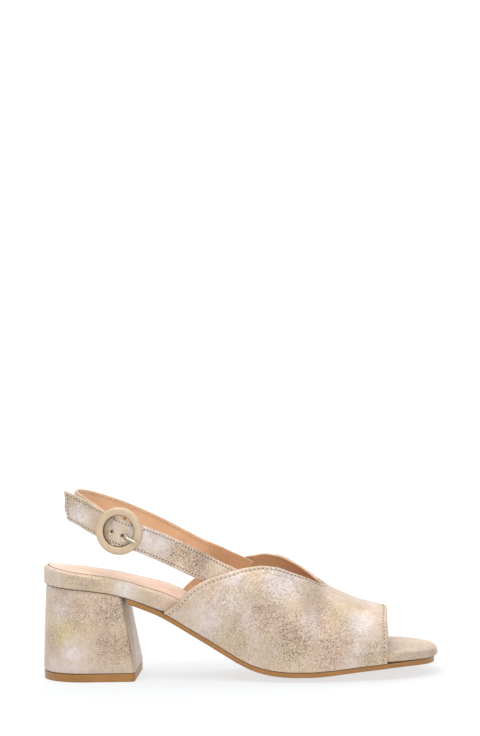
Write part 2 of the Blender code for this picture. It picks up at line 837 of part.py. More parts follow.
def ring_frame():
    """Directions at the buckle: along the strap to the toe, up its width, and out of the foot."""
    centre = loop_place(RING_PLACE)
    along = (loop_place(STRAP_BEFORE_RING) - loop_place(STRAP_BEHIND_RING)).normalized()
    outward = along.cross(Vector((0, 0, 1))).normalized()
    upward = outward.cross(along).normalized()
    return centre, along, outward, upward


RING_CENTRE, RING_ALONG, RING_OUT, RING_UP = ring_frame()
RING_MEAN_RADIUS = (RING_DIAMETER - RING_BAND) / 2
RING_LIFT = (
    SLING_THICKNESS / 2 + CLEARANCE + BUCKLE_STRAP_THICKNESS + CLEARANCE + RING_THICKNESS / 2
)
BAR_LEVEL = RING_LIFT - BAR_DROP
FOLD_RADIUS = BAR_DIAMETER / 2 + CLEARANCE + SLING_THICKNESS / 2
PRONG_LOOP_RADIUS = BAR_DIAMETER / 2 + CLEARANCE + PRONG_DIAMETER / 2
STACK = (SLING_THICKNESS + BUCKLE_STRAP_THICKNESS) / 2 + CLEARANCE
STRAP_OVER_BAR = (
    BAR_LEVEL + PRONG_LOOP_RADIUS + PRONG_DIAMETER / 2 + CLEARANCE + BUCKLE_STRAP_THICKNESS / 2
)


# Both straps where they pass the buckle: shares of the ring's mean radius, and of the bulge over the bar
SLING_AT_RING = [(1.25, 0.0), (0.95, 0.0), (0.72, 0.02), (0.54, 0.14), (0.36, 0.52)]
STRAP_AT_RING = [
    (-1.25, 0.0),
    (-0.95, 0.0),
    (-0.72, 0.03),
    (-0.54, 0.18),
    (-0.36, 0.58),
    (0.0, 1.0),
    (0.36, 0.58),
    (0.54, 0.16),
    (0.72, 0.0),
    (0.95, 0.0),
    (1.25, -0.1),
]


def at_ring(along, out, up=0.0):
    """Place near the buckle from distances along the strap, out of it and up its width."""
    return RING_CENTRE + RING_ALONG * along + RING_OUT * out + RING_UP * up


def ring_matrix(along=0.0, out=0.0, up=0.0):
    """Local X along the strap, Y up its width and Z out of the foot."""
    axes = Matrix((RING_ALONG, RING_UP, RING_OUT)).transposed().to_4x4()
    return Matrix.Translation(at_ring(along, out, up)) @ axes


def sling_route():
    """Inner quarter, heel, buckle: the strap folds over the bar and turns back under itself."""
    rim = RING_MEAN_RADIUS
    route = sewn_places(MEDIAL_SEWN_END, 1, SLING_THICKNESS)
    route += eased_lean(with_up([loop_place(waypoint) for waypoint in SLING_ROUTE]), route[-1][1])
    over_bar = BAR_LEVEL + FOLD_RADIUS
    route += [(at_ring(-rim * along, over_bar * out), RING_UP) for along, out in SLING_AT_RING]
    for degrees in (90, 60, 30, 0, -30, -60, -90):
        angle = math.radians(degrees)
        place = at_ring(FOLD_RADIUS * math.cos(angle), BAR_LEVEL + FOLD_RADIUS * math.sin(angle))
        route.append((place, RING_UP))
    under = BAR_LEVEL - FOLD_RADIUS
    route += [
        (at_ring(-rim * 0.4, under - SLING_TUCK), RING_UP),
        (at_ring(-rim, -SLING_THICKNESS - CLEARANCE), RING_UP),
    ]
    return route


def buckle_route():
    """Free tail, left rim, bar, right rim, outer quarter."""
    rim = RING_MEAN_RADIUS
    tail = [loop_place(waypoint) for waypoint in BUCKLE_STRAP_TAIL]
    front = [loop_place(waypoint) for waypoint in BUCKLE_STRAP_ROUTE]
    route = with_up([*tail, at_ring(-rim, STACK)])[:-1]
    bulge = STRAP_OVER_BAR - STACK
    route += [(at_ring(rim * along, STACK + bulge * out), RING_UP) for along, out in STRAP_AT_RING]
    sewn = sewn_places(LATERAL_SEWN_END, -1, BUCKLE_STRAP_THICKNESS)
    free = with_up([at_ring(rim * 1.2, STACK), *front])[1:]
    route += eased_lean(free[::-1], sewn[0][1])[::-1]
    return route + sewn


def tube(name, places, diameter):
    """A round wire along places, as a closed mesh."""
    curve = bpy.data.curves.new(name, "CURVE")
    curve.dimensions = "3D"
    curve.bevel_depth = diameter / 2
    curve.bevel_resolution = 2
    curve.use_fill_caps = True
    line = curve.splines.new("POLY")
    line.points.add(len(places) - 1)
    for point, place in zip(line.points, places):
        point.co = (*place, 1)
    wire = bpy.data.objects.new(name, curve)
    bpy.context.scene.collection.objects.link(wire)
    bpy.context.view_layer.update()
    evaluated = wire.evaluated_get(bpy.context.evaluated_depsgraph_get())
    mesh = bpy.data.meshes.new_from_object(evaluated)
    bm = bmesh.new()
    bm.from_mesh(mesh)
    bmesh.ops.remove_doubles(bm, verts=bm.verts, dist=0.00001)
    bpy.data.objects.remove(wire, do_unlink=True)
    bpy.data.meshes.remove(mesh)
    return bm


def build_ring():
    """The buckle's round ring, with a centre bar dropped behind its plane."""
    bpy.ops.mesh.primitive_torus_add(
        major_radius=RING_MEAN_RADIUS,
        minor_radius=RING_BAND / 2,
        major_segments=36,
        minor_segments=10,
    )
    torus = bpy.context.active_object
    bm = bmesh.new()
    bm.from_mesh(torus.data)
    bpy.data.objects.remove(torus, do_unlink=True)
    bmesh.ops.scale(bm, vec=(1, 1, RING_THICKNESS / RING_BAND), verts=bm.verts)
    ring = add_piece("buckle_ring", bm, METAL, ring_matrix(out=RING_LIFT))
    reach = RING_MEAN_RADIUS
    drop = BAR_DROP
    half_bar = STRAP_WIDTH / 2 + CLEARANCE + BAR_DIAMETER / 2
    bend = [
        (reach, 0.0),
        (reach * 0.93, -drop * 0.55),
        (half_bar + BAR_BEND_OUTER, -drop * 0.88),
        (half_bar - BAR_BEND_INNER, -drop),
    ]
    points = [(0, -up, out) for up, out in bend] + [(0, up, out) for up, out in reversed(bend)]
    bar = tube("buckle_bar", points, BAR_DIAMETER)
    cut(ring, add_cutter("buckle_bar", bar, ring_matrix(out=RING_LIFT)), "UNION")
    return ring


def build_prong():
    """The prong: looped round the bar, up through the strap's hole and over the ring."""
    radius = PRONG_LOOP_RADIUS
    places = []
    for degrees in range(-20, -271, -25):
        angle = math.radians(degrees)
        places.append((radius * math.cos(angle), 0, BAR_LEVEL + radius * math.sin(angle)))
    rim_top = RING_LIFT + RING_THICKNESS / 2 * 0.9
    rest = rim_top + CLEARANCE + PRONG_DIAMETER / 2
    places += [(along, 0, BAR_LEVEL + radius + over) for along, over in PRONG_OVER_EYE]
    places += [(along, 0, rest + over) for along, over in PRONG_TO_RIM]
    bm = tube("buckle_prong", places, PRONG_DIAMETER)
    return add_piece("buckle_prong", bm, METAL, ring_matrix(up=-HOLE_ROW_DROP))


def build_straps():
    """Both straps, with the bar's slot, the prong's hole and a spare hole cut through them."""
    sling = build_strap(
        "sling_strap", sling_route(), STRAP_WIDTH - SLING_NARROWER, SLING_THICKNESS, LEATHER_SIDE
    )
    slot = bmesh.new()
    bmesh.ops.create_cube(slot, size=1)
    reach = 2 * (PRONG_LOOP_RADIUS + PRONG_DIAMETER / 2 + CLEARANCE)
    deep = 2 * (FOLD_RADIUS + SLING_THICKNESS)
    bmesh.ops.scale(slot, vec=(reach + SLOT_SPARE_LENGTH, PRONG_HOLE_WIDTH, deep), verts=slot.verts)
    cut(sling, add_cutter("prong_slot", slot, ring_matrix(out=BAR_LEVEL, up=-HOLE_ROW_DROP)))

    strap = build_strap(
        "buckle_strap", buckle_route(), STRAP_WIDTH, BUCKLE_STRAP_THICKNESS, LEATHER_SIDE, STRAP_END_SKEW
    )
    hole = bmesh.new()
    bmesh.ops.create_cone(
        hole,
        cap_ends=True,
        segments=16,
        radius1=PRONG_HOLE_WIDTH / 2,
        radius2=PRONG_HOLE_WIDTH / 2,
        depth=PUNCH_DEPTH,
    )
    bmesh.ops.scale(hole, vec=(PRONG_HOLE_LENGTH / PRONG_HOLE_WIDTH, 1, 1), verts=hole.verts)
    cut(strap, add_cutter("prong_hole", hole, ring_matrix(PRONG_HOLE_PLACE, RING_LIFT, -HOLE_ROW_DROP)))
    spare = bmesh.new()
    bmesh.ops.create_cone(
        spare,
        cap_ends=True,
        segments=12,
        radius1=SPARE_HOLE_DIAMETER / 2,
        radius2=SPARE_HOLE_DIAMETER / 2,
        depth=PUNCH_DEPTH,
    )
    cut(strap, add_cutter("spare_hole", spare, ring_matrix(SPARE_HOLE_PLACE, RING_LIFT, -HOLE_ROW_DROP)))


build_top_piece()
build_heel()
build_outsole()
build_footbed()
build_insole()
build_upper()
build_straps()
build_ring()
build_prong()
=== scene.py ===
"""Looks of a pearly leather slingback sandal on a covered block heel.

Laid out as an add-on and run as a script: each operator dresses one piece of the shoe, or builds the
stage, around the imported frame. Units are metres in the frame's own axes: X from heel to toe, +Y the
inner side of the foot, Z up from the floor. The last, the sole and the strap routes are worked out
from the same named sizes as the solids, with x counted from the back of the footbed.
"""

import math
from collections import namedtuple

import bmesh
import bpy
import numpy as np
from bpy.props import FloatProperty, FloatVectorProperty, PointerProperty
from mathutils import Matrix, Vector
from mathutils.bvhtree import BVHTree
from mathutils.kdtree import KDTree


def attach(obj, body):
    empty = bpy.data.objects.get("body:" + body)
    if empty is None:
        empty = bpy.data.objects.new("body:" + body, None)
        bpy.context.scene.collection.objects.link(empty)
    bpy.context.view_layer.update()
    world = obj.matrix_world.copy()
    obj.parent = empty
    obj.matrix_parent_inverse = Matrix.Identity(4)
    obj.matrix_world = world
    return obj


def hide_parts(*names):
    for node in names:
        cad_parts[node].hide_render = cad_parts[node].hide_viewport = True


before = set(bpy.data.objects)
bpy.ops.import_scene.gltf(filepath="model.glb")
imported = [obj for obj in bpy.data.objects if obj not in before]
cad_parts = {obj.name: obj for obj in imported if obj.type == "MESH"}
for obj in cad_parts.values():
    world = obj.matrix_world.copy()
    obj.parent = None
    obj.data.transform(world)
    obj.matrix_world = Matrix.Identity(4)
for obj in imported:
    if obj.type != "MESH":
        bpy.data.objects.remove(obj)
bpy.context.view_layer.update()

bl_info = {
    "name": "Slingback sandal looks",
    "version": (1, 0, 0),
    "blender": (4, 5, 0),
    "location": "3D View > Sidebar > Sandal",
    "description": "Dresses a slingback sandal's frame in pearly leather, stitches and metal",
    "category": "Object",
}


# Footbed and sole
FOOTBED_LENGTH = 0.236
BALL_WIDTH = 0.0755
SEAT_WIDTH = 0.053
HEEL_PITCH = 0.051
TOE_SPRING = 0.0044
FOOTBED_THICKNESS = 0.0095
FOOTBED_EDGE_ROUND = 0.0024
PLATE_STATION_PITCH = 0.0083
SEAT_INNER_DROP = 0.0014
OUTSOLE_THICKNESS = 0.0028
OUTSOLE_MARGIN = 0.0018
OUTSOLE_EDGE_LIFT = 0.0032
OUTSOLE_CROWN = 0.0036
OUTSOLE_CROWN_AWAY = 0.3
OUTSOLE_CROWN_POWER = 2.5
OUTSOLE_TOE_SETBACK = 0.002
SOCK_THICKNESS = 0.001
SOCK_RIM = 0.0004
SOCK_LENGTH = 0.165

# Heel
HEEL_TOP_LENGTH = 0.0505
HEEL_BASE_LENGTH = 0.0572
HEEL_BACK_FLARE = 0.0014
HEEL_BREAST_SKEW = 0.0012
HEEL_BASE_WIDTH = 0.052
HEEL_TOP_INSET = 0.0012
HEEL_CORNER_RADIUS = 0.003
TOP_PIECE_THICKNESS = 0.005
TOP_PIECE_INSET = 0.0004

# Vamp
VAMP_WALL = 0.0018
INSTEP_RISE = 0.0745
LATERAL_BULGE = 0.0045
MEDIAL_BULGE = 0.0085

# Straps
STRAP_WIDTH = 0.0160
SLING_THICKNESS = 0.0014
BUCKLE_STRAP_THICKNESS = 0.0015
SLING_NARROWER = 0.001
LOOP_WIDTH = 0.061
LOOP_RISE = 0.048
STRAP_END_SKEW = 0.0034
STRAP_SEWING_DEPTH = 0.0011

# Buckle
RING_DIAMETER = 0.0282
RING_BAND = 0.0049
RING_THICKNESS = 0.003
BAR_DIAMETER = 0.0018
BAR_DROP = 0.0042
PRONG_DIAMETER = 0.0016
PRONG_HOLE_WIDTH = 0.0023
PRONG_HOLE_LENGTH = 0.0044
PRONG_HOLE_PLACE = 0.0038
SPARE_HOLE_DIAMETER = 0.0016
SPARE_HOLE_PLACE = -0.0040
HOLE_ROW_DROP = 0.0019
PUNCH_DEPTH = 0.012
SLOT_SPARE_LENGTH = 0.0008
SLING_TUCK = 0.0001
BAR_BEND_OUTER = 0.0008
BAR_BEND_INNER = 0.0004

# Gap between pieces that touch on the real shoe
CLEARANCE = 0.0003

# Middle line of the prong past its eye: distance along the strap, and over the eye's top or, for the
# last three, under the level at which it rests on the rim
PRONG_OVER_EYE = [(0.0018, -0.0002), (0.0028, 0.0001), (0.0038, 0.0011), (0.0050, 0.0027)]
PRONG_TO_RIM = [(0.0064, -0.0008), (0.0082, -0.0002), (0.0124, 0.0)]

# Half widths of the footbed, before its ends are rounded: shares of half the seat or ball width
Outline = namedtuple("Outline", "along lateral medial")
OUTLINE = [Outline(*row) for row in (
    (0.00, 0.98, 0.98), (0.15, 1.00, 1.00), (0.25, 0.98, 0.94), (0.34, 0.80, 0.69), (0.45, 0.76, 0.53),
    (0.53, 0.88, 0.65), (0.61, 0.97, 0.87), (0.67, 1.00, 0.98), (0.73, 1.00, 1.01), (0.80, 0.94, 0.97),
    (0.87, 0.86, 0.90), (0.93, 0.76, 0.83), (1.00, 0.64, 0.72),
)]
SEAT_TO_BALL_START = 0.22
SEAT_TO_BALL_END = 0.38
HEEL_ROUND = 0.024
TOE_ROUND = 0.030
TOE_SQUARENESS = 2.6

# Underside of the footbed: shares of the heel pitch and of the toe spring
Profile = namedtuple("Profile", "along pitch spring")
PROFILE = [Profile(*row) for row in (
    (0.000, 1.000, 0.0), (0.085, 0.967, 0.0), (0.170, 0.912, 0.0), (0.212, 0.863, 0.0), (0.254, 0.796, 0.0),
    (0.297, 0.718, 0.0), (0.339, 0.614, 0.0), (0.381, 0.494, 0.0), (0.424, 0.367, 0.0), (0.466, 0.243, 0.0),
    (0.508, 0.131, 0.0), (0.551, 0.053, 0.0), (0.593, 0.014, 0.0), (0.636, 0.000, 0.0), (0.678, 0.000, 0.0),
    (0.720, 0.000, 0.14), (0.763, 0.000, 0.34), (0.805, 0.000, 0.55), (0.850, 0.000, 0.73),
    (0.890, 0.000, 0.89), (0.932, 0.000, 0.98), (1.000, 0.000, 1.00),
)]

# Upright thickness of the footbed: shares of its named thickness
Bed = namedtuple("Bed", "along thickness")
BED = [Bed(*row) for row in (
    (0.00, 1.22), (0.04, 1.12), (0.08, 1.05), (0.13, 1.00), (0.19, 1.00), (0.24, 1.05), (0.29, 1.15),
    (0.35, 1.32), (0.42, 1.28), (0.51, 1.10), (0.60, 0.94), (0.70, 0.86), (0.80, 0.76), (0.90, 0.64),
    (1.00, 0.50),
)]

# How far the outsole stands out past the footbed's edge: shares of its margin
Margin = namedtuple("Margin", "along share")
MARGIN = [Margin(*row) for row in (
    (0.20, -0.30), (0.29, 0.10), (0.33, 0.95), (0.60, 1.00), (0.85, 1.00), (0.90, 0.45), (1.00, 0.00),
)]

# Last over the footbed: crest height over the feather line as shares of the instep rise, and how far
# the walls swell past the feather line as shares of the two bulges
Last = namedtuple("Last", "along crest lateral medial squareness")
LAST = [Last(*row) for row in (
    (0.31, 0.79, 1.00, 0.62, 2.2), (0.38, 0.89, 0.95, 0.85, 2.2), (0.45, 0.95, 0.85, 1.00, 2.2),
    (0.51, 1.00, 0.55, 0.65, 2.2), (0.55, 1.00, 0.42, 0.48, 2.2), (0.593, 0.96, 0.33, 0.30, 2.2),
    (0.636, 0.866, 0.30, 0.22, 2.2), (0.678, 0.745, 0.27, 0.18, 2.2), (0.720, 0.617, 0.26, 0.15, 2.25),
    (0.763, 0.534, 0.25, 0.14, 2.3), (0.805, 0.467, 0.23, 0.13, 2.4), (0.850, 0.416, 0.22, 0.12, 2.5),
    (0.890, 0.373, 0.22, 0.12, 2.5),
)]
BULGE_HEIGHT_SHARE = 0.5

# Where the seat's inner drop ends, and where the sole's crown comes and goes round the ball: shares of
# the length at which each starts, and over how much of it
SEAT_DROP_FADE = (0.18, 0.20)
CROWN_START = (0.40, 0.18)
CROWN_END = (0.70, 0.18)
SLOPE_STEP = 0.001

# Cut edges of the vamp: share of the way from the feather line to the crest, and share of the length
Edge = namedtuple("Edge", "around along")
LATERAL_BACK_EDGE = [Edge(*row) for row in (
    (0.000, 0.312), (0.040, 0.328), (0.084, 0.344), (0.192, 0.375), (0.286, 0.4085), (0.368, 0.4445),
    (0.448, 0.487), (0.524, 0.525), (0.564, 0.550), (0.600, 0.580), (0.663, 0.628), (0.785, 0.681),
    (0.890, 0.7075), (1.000, 0.7195),
)]
MEDIAL_BACK_EDGE = [Edge(*row) for row in (
    (0.000, 0.322), (0.105, 0.350), (0.182, 0.374), (0.286, 0.415), (0.380, 0.455), (0.455, 0.485),
    (0.513, 0.508), (0.620, 0.563), (0.704, 0.616), (0.784, 0.657), (0.857, 0.688), (0.930, 0.708),
    (1.000, 0.7195),
)]
LATERAL_TOE_EDGE = [Edge(*row) for row in ((0.00, 0.869), (0.30, 0.873), (0.60, 0.872), (1.00, 0.8745))]
MEDIAL_TOE_EDGE = [Edge(*row) for row in ((0.00, 0.872), (0.30, 0.873), (0.60, 0.871), (1.00, 0.8745))]

# Middle line of the straps, from the inner side round the heel to the outer side: shares of the
# footbed's length, of half the loop's width and of the loop's rise over the heel seat
Waypoint = namedtuple("Waypoint", "along across rise")
SLING_ROUTE = [Waypoint(*row) for row in (
    (0.400, 0.745, 0.306), (0.356, 0.84, 0.406), (0.284, 0.93, 0.586), (0.208, 0.92, 0.760),
    (0.144, 0.76, 0.890), (0.104, 0.46, 0.970), (0.086, 0.00, 1.000), (0.104, -0.47, 0.955),
    (0.144, -0.80, 0.850),
)]
RING_PLACE = Waypoint(0.209, -1.00, 0.700)
STRAP_BEHIND_RING = Waypoint(0.150, -0.90, 0.822)
STRAP_BEFORE_RING = Waypoint(0.262, -1.04, 0.602)
BUCKLE_STRAP_TAIL = [Waypoint(0.0680, -0.60, 0.997), Waypoint(0.0990, -0.76, 0.940)]
BUCKLE_STRAP_ROUTE = [Waypoint(0.322, -0.985, 0.456), Waypoint(0.383, -0.91, 0.298)]
# How much of a sewn end's lean the strap still has at the free places next to it
SEWN_LEAN_FADE = (0.48, 0.20, 0.05)

# Where the strap ends lie on the vamp's lining: share of the length, and share from feather to crest
SewnEnd = namedtuple("SewnEnd", "along around")
LATERAL_SEWN_END = [SewnEnd(*row) for row in ((0.425, 0.405), (0.445, 0.395), (0.478, 0.388), (0.510, 0.380))]
MEDIAL_SEWN_END = [SewnEnd(*row) for row in ((0.520, 0.430), (0.487, 0.440), (0.452, 0.452), (0.428, 0.460))]


def smooth_curve(rows, key, value):
    """Monotone cubic through a table's rows, held level past its ends."""
    xs = np.array([getattr(row, key) for row in rows])
    ys = np.array([getattr(row, value) for row in rows])
    steps = np.diff(xs)
    slopes = np.diff(ys) / steps
    tangents = np.zeros(len(xs))
    tangents[0] = slopes[0]
    tangents[-1] = slopes[-1]
    for i in range(1, len(xs) - 1):
        if slopes[i - 1] * slopes[i] > 0:
            before = 2 * steps[i] + steps[i - 1]
            after = steps[i] + 2 * steps[i - 1]
            tangents[i] = (before + after) / (before / slopes[i - 1] + after / slopes[i])

    def curve(x):
        x = min(max(x, xs[0]), xs[-1])
        i = min(int(np.searchsorted(xs, x, side="right")) - 1, len(xs) - 2)
        t = (x - xs[i]) / steps[i]
        start = (1 + 2 * t) * (1 - t) ** 2 * ys[i] + t * (1 - t) ** 2 * steps[i] * tangents[i]
        end = t * t * (3 - 2 * t) * ys[i + 1] + t * t * (t - 1) * steps[i] * tangents[i + 1]
        return float(start + end)

    return curve


# Curves of both sides, by side: -1 is the outer (lateral) one and 1 the inner (medial) one
outline_share, bulge_share = (
    {-1: smooth_curve(rows, "along", "lateral"), 1: smooth_curve(rows, "along", "medial")}
    for rows in (OUTLINE, LAST)
)
back_edge, toe_edge = (
    {side: smooth_curve(rows, "around", "along") for side, rows in ((-1, lateral), (1, medial))}
    for lateral, medial in ((LATERAL_BACK_EDGE, MEDIAL_BACK_EDGE), (LATERAL_TOE_EDGE, MEDIAL_TOE_EDGE))
)
pitch_share = smooth_curve(PROFILE, "along", "pitch")
spring_share = smooth_curve(PROFILE, "along", "spring")
bed_share = smooth_curve(BED, "along", "thickness")
margin_share = smooth_curve(MARGIN, "along", "share")
crest_share = smooth_curve(LAST, "along", "crest")
squareness = smooth_curve(LAST, "along", "squareness")


def ease(t):
    """Smooth step from 0 to 1."""
    t = min(max(t, 0.0), 1.0)
    return t * t * (3 - 2 * t)


def faded(along, start, run):
    """Smooth step along the footbed: 0 before a share of its length, 1 from a run after it."""
    return ease((along - start) / run)


def feather_height(x):
    """Height of the footbed's underside over the floor."""
    along = x / FOOTBED_LENGTH
    ball = OUTSOLE_EDGE_LIFT + OUTSOLE_THICKNESS + CLEARANCE
    return ball + HEEL_PITCH * pitch_share(along) + TOE_SPRING * spring_share(along)


def slope_factor(curve, x):
    """Length of a curve for a unit step along X, which turns a square thickness into an upright one."""
    rise = (curve(x + SLOPE_STEP) - curve(x - SLOPE_STEP)) / (2 * SLOPE_STEP)
    return math.sqrt(1 + rise * rise)


def straight_half_width(x, side):
    """Half width of the footbed on one side, before the rounding of its ends."""
    along = x / FOOTBED_LENGTH
    to_ball = ease((along - SEAT_TO_BALL_START) / (SEAT_TO_BALL_END - SEAT_TO_BALL_START))
    half = (SEAT_WIDTH + (BALL_WIDTH - SEAT_WIDTH) * to_ball) / 2
    return half * outline_share[side](along)


def half_width(x, side, tip=FOOTBED_LENGTH):
    """Half width of the footbed on one side, with a round heel and a soft square toe."""
    width = straight_half_width(x, side)
    from_tip = max(tip - x, 0.0)
    if x < HEEL_ROUND:
        width *= math.sqrt(max(1 - ((HEEL_ROUND - x) / HEEL_ROUND) ** 2, 0))
    if from_tip < TOE_ROUND:
        share = (TOE_ROUND - from_tip) / TOE_ROUND
        width *= max(1 - share ** TOE_SQUARENESS, 0) ** (1 / TOE_SQUARENESS)
    return width


def footbed_top(x, y):
    """Height of the footbed's upper face, a little lower along the inner side of the heel seat."""
    along = x / FOOTBED_LENGTH
    level = feather_height(x) + FOOTBED_THICKNESS * bed_share(along)
    seat = 1 - faded(along, *SEAT_DROP_FADE)
    return level - SEAT_INNER_DROP * seat * ease(y / straight_half_width(x, 1))


def sock_seat(x, y):
    """Bottom of the shallow recess that the sock fills, which runs out under the vamp."""
    depth = SOCK_THICKNESS + CLEARANCE
    fade = 1 - ease((x - SOCK_LENGTH - CLEARANCE) / (2 * PLATE_STATION_PITCH))
    return footbed_top(x, y) - depth * fade


def outsole_top(x):
    return feather_height(x) - CLEARANCE


def outsole_bottom(x, y):
    """Crowned underside of the outsole, cut flat where it would pass through the floor."""
    side = -1 if y < 0 else 1
    edge = outsole_top(x) - OUTSOLE_THICKNESS * slope_factor(feather_height, x)
    half = straight_half_width(x, side) + OUTSOLE_MARGIN
    along = x / FOOTBED_LENGTH
    at_ball = faded(along, *CROWN_START) * (1 - faded(along, *CROWN_END))
    crown = OUTSOLE_CROWN * (OUTSOLE_CROWN_AWAY + (1 - OUTSOLE_CROWN_AWAY) * at_ball)
    across = min(abs(y) / half, 1)
    return max(edge - crown * (1 - across**OUTSOLE_CROWN_POWER), 0.0)


def wall_offset(x, side, distance):
    """Distance across the shoe that moves the footbed's outline out by a distance square to it."""
    def half(place):
        return straight_half_width(place, side)

    return distance * slope_factor(half, x)


def last_point(along, around, side):
    """Point of the vamp's outer face: share of the length, share from the feather line to the crest."""
    x = along * FOOTBED_LENGTH
    angle = math.pi / 2 * around
    up = math.sin(angle)
    inward = max(math.cos(angle), 0.0)
    power = 2 / squareness(along)
    bulge = (LATERAL_BULGE if side < 0 else MEDIAL_BULGE) * bulge_share[side](along)
    swell = 1 - (1 - min(up / BULGE_HEIGHT_SHARE, 1)) ** 2
    half = straight_half_width(x, side) + wall_offset(x, side, VAMP_WALL + CLEARANCE) + bulge * swell
    y = side * half * inward ** power
    z = feather_height(x) + INSTEP_RISE * crest_share(along) * up ** power
    return Vector((x, y, z))


def loft_rings(bm, rings):
    """Join closed rings of equal counts by quads, and return the rings' vertices."""
    loops = [[bm.verts.new(point) for point in ring] for ring in rings]
    for lower, upper in zip(loops, loops[1:]):
        for i in range(len(lower)):
            j = (i + 1) % len(lower)
            bm.faces.new((lower[i], lower[j], upper[j], upper[i]))
    return loops


def rung_cap(bm, loop, columns, height):
    """Close a plan ring by rungs across it, with points between their ends set to a height."""
    across = columns - 1
    count = len(loop) // 2 - across
    front = loop[count : count + across]
    back = loop[len(loop) - across :]
    rungs = []
    for i in range(count):
        start = loop[i]
        end = loop[2 * count + across - 1 - i]
        if i == 0:
            inner = list(reversed(back))
        elif i == count - 1:
            inner = front
        else:
            inner = []
            for k in range(1, columns):
                place = start.co.lerp(end.co, k / columns)
                if height is not None:
                    place.z = height(place.x, place.y)
                inner.append(bm.verts.new(place))
        rungs.append([start, *inner, end])
    for here, there in zip(rungs, rungs[1:]):
        for k in range(columns):
            bm.faces.new((here[k], here[k + 1], there[k + 1], there[k]))


# Angles at which the rounded ends of a plate start at the heel and stop at the toe
FIRST_ANGLE = math.radians(10)
LAST_ANGLE = math.radians(5)


def stations(back, tip, round_back, round_tip, pitch, steps):
    """Places along a plate: even in its middle and closer where its ends are rounded."""
    places = []
    if round_back:
        angles = [FIRST_ANGLE + (math.pi / 2 - FIRST_ANGLE) * k / steps for k in range(steps)]
        places += [back + round_back * (1 - math.cos(angle)) for angle in angles]
    start = back + round_back
    end = tip - round_tip
    count = max(round((end - start) / pitch), 1)
    places += [start + (end - start) * k / count for k in range(count + 1)]
    if round_tip:
        angles = [math.pi / 2 * (1 - k / steps) for k in range(1, steps)] + [LAST_ANGLE]
        places += [tip - round_tip * (1 - math.cos(angle)) for angle in angles]
    return places


def plan_ring(places, width, columns):
    """Closed plan outline: outer side to the front, across the toe, inner side back, across the heel."""
    lateral = [Vector((x, -width(x, -1), 0)) for x in places]
    medial = [Vector((x, width(x, 1), 0)) for x in reversed(places)]
    front = [lateral[-1].lerp(medial[0], k / columns) for k in range(1, columns)]
    back = [medial[-1].lerp(lateral[0], k / columns) for k in range(1, columns)]
    return [*lateral, *front, *medial, *back]


def inset_ring(ring, inset, height):
    """The ring moved inwards by a distance, mitred at corners, at the heights that a function gives."""
    moved = []
    for i, point in enumerate(ring):
        before = point - ring[i - 1]
        after = ring[(i + 1) % len(ring)] - point
        inward = Vector((-before.y, before.x, 0)).normalized()
        onward = Vector((-after.y, after.x, 0)).normalized()
        place = point + (inward + onward) * inset / (1 + inward.dot(onward))
        place.z = height(place.x, place.y)
        moved.append(place)
    return moved


def between(a, b, start, end, t):
    """Place between a at one knot and b at another, by the knots' own measure."""
    return (a * (end - t) + b * (t - start)) / (end - start)


def spline(points, step):
    """Centripetal curve through points that are pairs of place and up direction, sampled by length."""
    places = [place for place, _ in points]
    first = places[0] * 2 - places[1]
    last = places[-1] * 2 - places[-2]
    padded = [first, *places, last]
    samples = []
    for i in range(len(places) - 1):
        a, b, c, d = padded[i : i + 4]
        knots = [0.0]
        for near, far in ((a, b), (b, c), (c, d)):
            knots.append(knots[-1] + math.sqrt((far - near).length))
        count = max(math.ceil((c - b).length / step), 1)
        for k in range(count):
            t = knots[1] + (knots[2] - knots[1]) * k / count
            ab, bc, cd = (between(*pair, t) for pair in zip((a, b, c), (b, c, d), knots, knots[1:]))
            abc = between(ab, bc, knots[0], knots[2], t)
            bcd = between(bc, cd, knots[1], knots[3], t)
            place = between(abc, bcd, knots[1], knots[2], t)
            samples.append((place, points[i][1].lerp(points[i + 1][1], k / count)))
    samples.append(points[-1])
    return samples


def loop_place(waypoint):
    """Point of the ankle loop from its shares."""
    x = waypoint.along * FOOTBED_LENGTH
    y = waypoint.across * LOOP_WIDTH / 2
    z = feather_height(0) + waypoint.rise * LOOP_RISE
    return Vector((x, y, z))


def direction(places, i):
    """Direction of a line of places at one of them."""
    return (places[min(i + 1, len(places) - 1)] - places[max(i - 1, 0)]).normalized()


def with_up(places):
    """Pair each place of a free route with the direction of the strap's upper edge."""
    pairs = []
    for i, place in enumerate(places):
        tangent = direction(places, i)
        up = Vector((0, 0, 1))
        pairs.append((place, (up - tangent * up.dot(tangent)).normalized()))
    return pairs


# Share of the vamp's length and height over which its lean is read, under a strap's sewn end
LEAN_STEP = 0.01


def sewn_places(ends, side, thickness):
    """Places of a strap's end on the inside of the vamp, with the vamp's own lean."""
    pairs = []
    for end in ends:
        here = last_point(end.along, end.around, side)
        round_the_foot = last_point(end.along, end.around + LEAN_STEP, side) - here
        forward = last_point(end.along + LEAN_STEP, end.around, side) - here
        outward = forward.cross(round_the_foot).normalized() * (-side)
        depth = VAMP_WALL + CLEARANCE + STRAP_SEWING_DEPTH + thickness / 2
        pairs.append((here - outward * depth, round_the_foot.normalized()))
    return pairs


def eased_lean(free, lean):
    """Turn the first places of a free route gradually out of a sewn end's lean."""
    eased = [(place, up.lerp(lean, share)) for (place, up), share in zip(free, SEWN_LEAN_FADE)]
    return eased + free[len(eased) :]


def ring_frame():
    """Directions at the buckle: along the strap to the toe, up its width, and out of the foot."""
    centre = loop_place(RING_PLACE)
    along = (loop_place(STRAP_BEFORE_RING) - loop_place(STRAP_BEHIND_RING)).normalized()
    outward = along.cross(Vector((0, 0, 1))).normalized()
    upward = outward.cross(along).normalized()
    return centre, along, outward, upward


